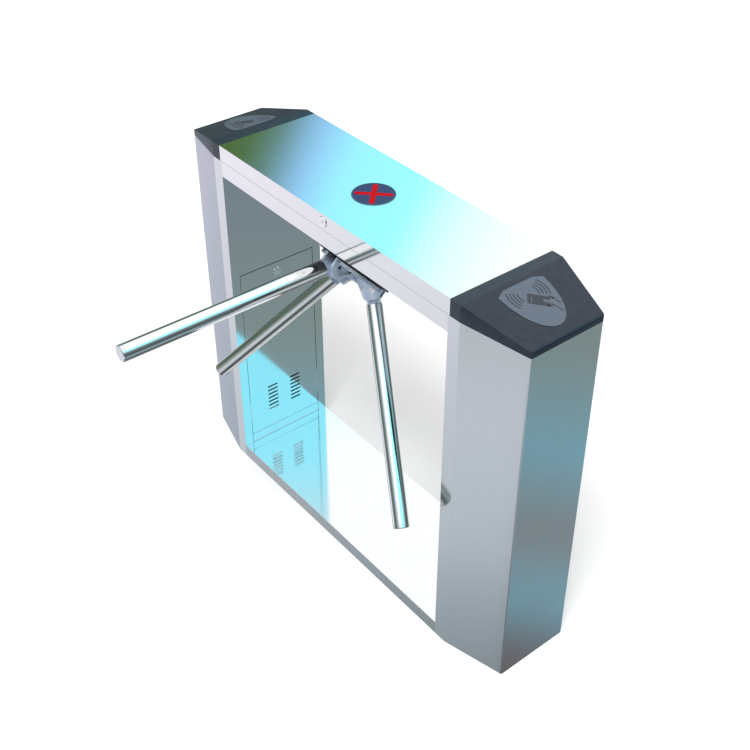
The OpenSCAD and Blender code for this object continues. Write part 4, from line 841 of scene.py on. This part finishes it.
def background_rays(tree):
    """1 for the rays that show the background: from the camera, off metal and through glass."""
    path = add(tree, "ShaderNodeLightPath")
    seen = path.outputs["Is Camera Ray"]
    for name in ("Is Glossy Ray", "Is Transmission Ray"):
        either = add(tree, "ShaderNodeMath", operation="MAXIMUM")
        tree.links.new(seen, either.inputs[0])
        tree.links.new(path.outputs[name], either.inputs[1])
        seen = either.outputs[0]
    return seen


def light_studio():
    scene = bpy.context.scene
    scene.view_settings.view_transform = "Standard"
    world = bpy.data.worlds.new("studio air")
    scene.world = world
    world.use_nodes = True
    tree = world.node_tree
    air = tree.nodes["Background"]
    air.inputs["Color"].default_value = (1, 1, 1, 1)
    tree.links.new(spread(tree, background_rays(tree), 0, 1, AIR_LIGHT, 1), air.inputs["Strength"])
    for name, place, size, power in LAMPS:
        data = bpy.data.lights.new(name, "AREA")
        data.size = size
        data.energy = power
        lamp = bpy.data.objects.new(name, data)
        scene.collection.objects.link(lamp)
        lamp.location = place
        lamp.rotation_euler = (Vector(LAMPS_LOOK_AT) - Vector(place)).to_track_quat("-Z", "Y").to_euler()
        lamp.visible_glossy = False


# Tones of the light tent, as (degrees, colour). The first two go by the height over the horizon: all round, and on
# the side of the near end. The third goes across the coloured panels that the lid reflects.
TENT_LEFT = (
    (-78, (1.0, 1.0, 1.0)), (-70, (0.15, 0.2, 0.2)), (-55, (0.2, 0.25, 0.25)), (-48.5, (0.5, 0.55, 0.6)),
    (-45.5, (0.7, 0.75, 0.8)), (-41, (0.75, 0.8, 0.85)), (-27, (1.08, 1.04, 1.12)), (-18, (0.55, 0.6, 0.6)),
    (-6, (0.1, 0.15, 0.1)), (12, (0.2, 0.25, 0.25)), (24, (0.65, 0.75, 0.8)), (34, (1.3, 1.3, 1.3)),
)
TENT_RIGHT = (
    (-78, (1.0, 1.0, 1.0)), (-70, (0.1, 0.15, 0.15)), (-51, (0.2, 0.15, 0.15)), (-48, (0.25, 0.5, 0.6)),
    (-45, (0.3, 0.3, 0.3)), (-41, (0.25, 0.5, 0.6)), (-36, (0.3, 0.37, 0.35)), (-27, (0.25, 0.3, 0.35)),
    (-20, (0.05, 0.1, 0.1)), (14, (0.2, 0.2, 0.2)), (27, (0.5, 0.85, 0.95)), (32, (0.5, 1.4, 1.6)),
    (42, (0.5, 1.5, 1.75)), (48, (1.3, 1.3, 1.3)),
)
TENT_LID = (
    (131, (1.3, 1.3, 1.3)), (135, (1.0, 1.3, 1.3)), (138.5, (0.45, 1.3, 1.3)), (143, (0.45, 1.2, 1.3)),
    (145, (0.4, 0.8, 1.25)), (147.5, (0.15, 0.3, 0.25)), (149, (0.1, 0.2, 0.05)), (156, (0.1, 0.15, 0.1)),
)


# The near end's side of the tent: its middle, degrees from +X, and how far from there it ends and is whole
RIGHT_MIDDLE = 22
RIGHT_EDGE = (62, 42)
# Grey cards before the tent: how much of each colour one lets through, and the degrees at which it ends and is
# whole, by the turn from +X (past: either way) and by the height over the horizon
GREY_CARDS = (
    # Past the far end
    ((0.63, 0.66, 0.71), (("past", 160, 170), ("rise", -15, -22))),
    # Beside the passage
    ((0.68, 0.72, 0.70), (("turn", -128, -114), ("turn", -50, -60), ("rise", -8, -14), ("rise", -40, -33))),
    # On the floor of the passage
    ((0.45, 0.45, 0.46), (("turn", -97, -86), ("turn", -30, -40), ("rise", -36, -44))),
)
# The lid's panels end and are whole at these degrees, and lean by this much for each degree of height
LID_PANELS = (("rise", 12, 20), ("rise", 41, 37), ("turn", 112, 126), ("turn", 168, 158))
LID_LEAN = -0.55
LID_START = 15.4
TENT_RADIUS = 200
TENT_SEGMENTS = 96


def toned(tree, source, stops):
    """A colour ramp over a range of degrees."""
    low, high = stops[0][0], stops[-1][0]
    place = spread(tree, source, low, high)
    ramp = add(tree, "ShaderNodeValToRGB")
    marks = ramp.color_ramp.elements
    while len(marks) < len(stops):
        marks.new(0.5)
    for mark, (degrees, colour) in zip(marks, stops):
        mark.position = (degrees - low) / (high - low)
        mark.color = (*colour, 1)
    tree.links.new(place, ramp.inputs["Fac"])
    return ramp.outputs["Color"]


def absolute(tree, value):
    node = add(tree, "ShaderNodeMath", operation="ABSOLUTE")
    tree.links.new(value, node.inputs[0])
    return node.outputs[0]


def within(tree, angles, ramps):
    """1 where all ramps, each (angle's name, end, whole), are whole."""
    share = None
    for name, end, whole in ramps:
        ramp = spread(tree, angles[name], end, whole)
        share = ramp if share is None else times(tree, share, ramp)
    return share


def tent_angles(tree):
    """Height over the horizon and turn from +X of a spot on the tent, in degrees."""
    toward = add(tree, "ShaderNodeVectorMath", operation="NORMALIZE")
    tree.links.new(add(tree, "ShaderNodeTexCoord").outputs["Object"], toward.inputs[0])
    parts = add(tree, "ShaderNodeSeparateXYZ")
    tree.links.new(toward.outputs[0], parts.inputs[0])
    rise = add(tree, "ShaderNodeMath", operation="ARCSINE")
    tree.links.new(parts.outputs["Z"], rise.inputs[0])
    turn = add(tree, "ShaderNodeMath", operation="ARCTAN2")
    tree.links.new(parts.outputs["Y"], turn.inputs[0])
    tree.links.new(parts.outputs["X"], turn.inputs[1])
    rise, turn = (times(tree, node.outputs[0], math.degrees(1)) for node in (rise, turn))
    return {"rise": rise, "turn": turn, "past": absolute(tree, turn)}


def tent_tone(tree):
    """The tent's colour at a spot: both sides, the grey cards before them, and the lid's panels."""
    angles = tent_angles(tree)
    right = spread(tree, absolute(tree, plus(tree, angles["turn"], -RIGHT_MIDDLE)), *RIGHT_EDGE)
    tone = mixed(tree, right, toned(tree, angles["rise"], TENT_LEFT), toned(tree, angles["rise"], TENT_RIGHT))
    for tint, ramps in GREY_CARDS:
        dimmed = add(tree, "ShaderNodeVectorMath", operation="MULTIPLY")
        tree.links.new(tone, dimmed.inputs[0])
        dimmed.inputs[1].default_value = tint
        tone = mixed(tree, within(tree, angles, ramps), tone, dimmed.outputs[0])
    lean = plus(tree, plus(tree, angles["turn"], angles["rise"], LID_LEAN), LID_START)
    return mixed(tree, within(tree, angles, LID_PANELS), tone, toned(tree, lean, TENT_LID))


def hang_light_tent():
    """A wide tent of soft toned panels: polished metal shows it, and it lights nothing."""
    mesh = bpy.data.meshes.new("light tent")
    shape = bmesh.new()
    bmesh.ops.create_uvsphere(
        shape, u_segments=TENT_SEGMENTS, v_segments=TENT_SEGMENTS // 2, radius=TENT_RADIUS
    )
    bmesh.ops.reverse_faces(shape, faces=shape.faces)
    shape.to_mesh(mesh)
    shape.free()
    tent = bpy.data.objects.new("light tent", mesh)
    bpy.context.scene.collection.objects.link(tent)
    material = bpy.data.materials.new("tent cloth")
    material.use_nodes = True
    material.cycles.emission_sampling = "NONE"
    tree = material.node_tree
    tree.nodes.clear()
    cloth = add(tree, "ShaderNodeEmission")
    tree.links.new(tent_tone(tree), cloth.inputs["Color"])
    tree.links.new(cloth.outputs[0], add(tree, "ShaderNodeOutputMaterial").inputs["Surface"])
    mesh.materials.append(material)
    tent.visible_camera = False
    tent.visible_diffuse = False
    tent.visible_transmission = False
    tent.visible_volume_scatter = False
    tent.visible_shadow = False


FLOOR_REACH = 30  # each way
FLOOR_COLOUR = (0.92, 0.92, 0.92, 1)
# Farther out, where the lamps don't reach, the floor glows more: from one distance to another, and both strengths
FLOOR_GLOW = (1.2, 4, 0.10, 0.6)


def lay_floor():
    """A pale floor that keeps the object's shadow and stays out of reflections, where the tent stands for it."""
    mesh = bpy.data.meshes.new("floor")
    corners = [(x * FLOOR_REACH, y * FLOOR_REACH, 0) for x, y in ((-1, -1), (1, -1), (1, 1), (-1, 1))]
    mesh.from_pydata(corners, [], [(0, 1, 2, 3)])
    floor = bpy.data.objects.new("floor", mesh)
    bpy.context.scene.collection.objects.link(floor)
    material = bpy.data.materials.new("pale floor")
    material.use_nodes = True
    tree = material.node_tree
    shader = tree.nodes["Principled BSDF"]
    shader.inputs["Base Color"].default_value = FLOOR_COLOUR
    shader.inputs["Roughness"].default_value = 0.9
    shader.inputs["Specular IOR Level"].default_value = 0
    shader.inputs["Emission Color"].default_value = (1, 1, 1, 1)
    distance = add(tree, "ShaderNodeVectorMath", operation="LENGTH")
    tree.links.new(add(tree, "ShaderNodeTexCoord").outputs["Object"], distance.inputs[0])
    glow = spread(tree, distance.outputs["Value"], *FLOOR_GLOW)
    tree.links.new(times(tree, background_rays(tree), glow), shader.inputs["Emission Strength"])
    mesh.materials.append(material)
    floor.visible_glossy = False


aim_camera()
dress_solids()
print_pictograms()
fit_small_parts()
light_studio()
hang_light_tent()
lay_floor()
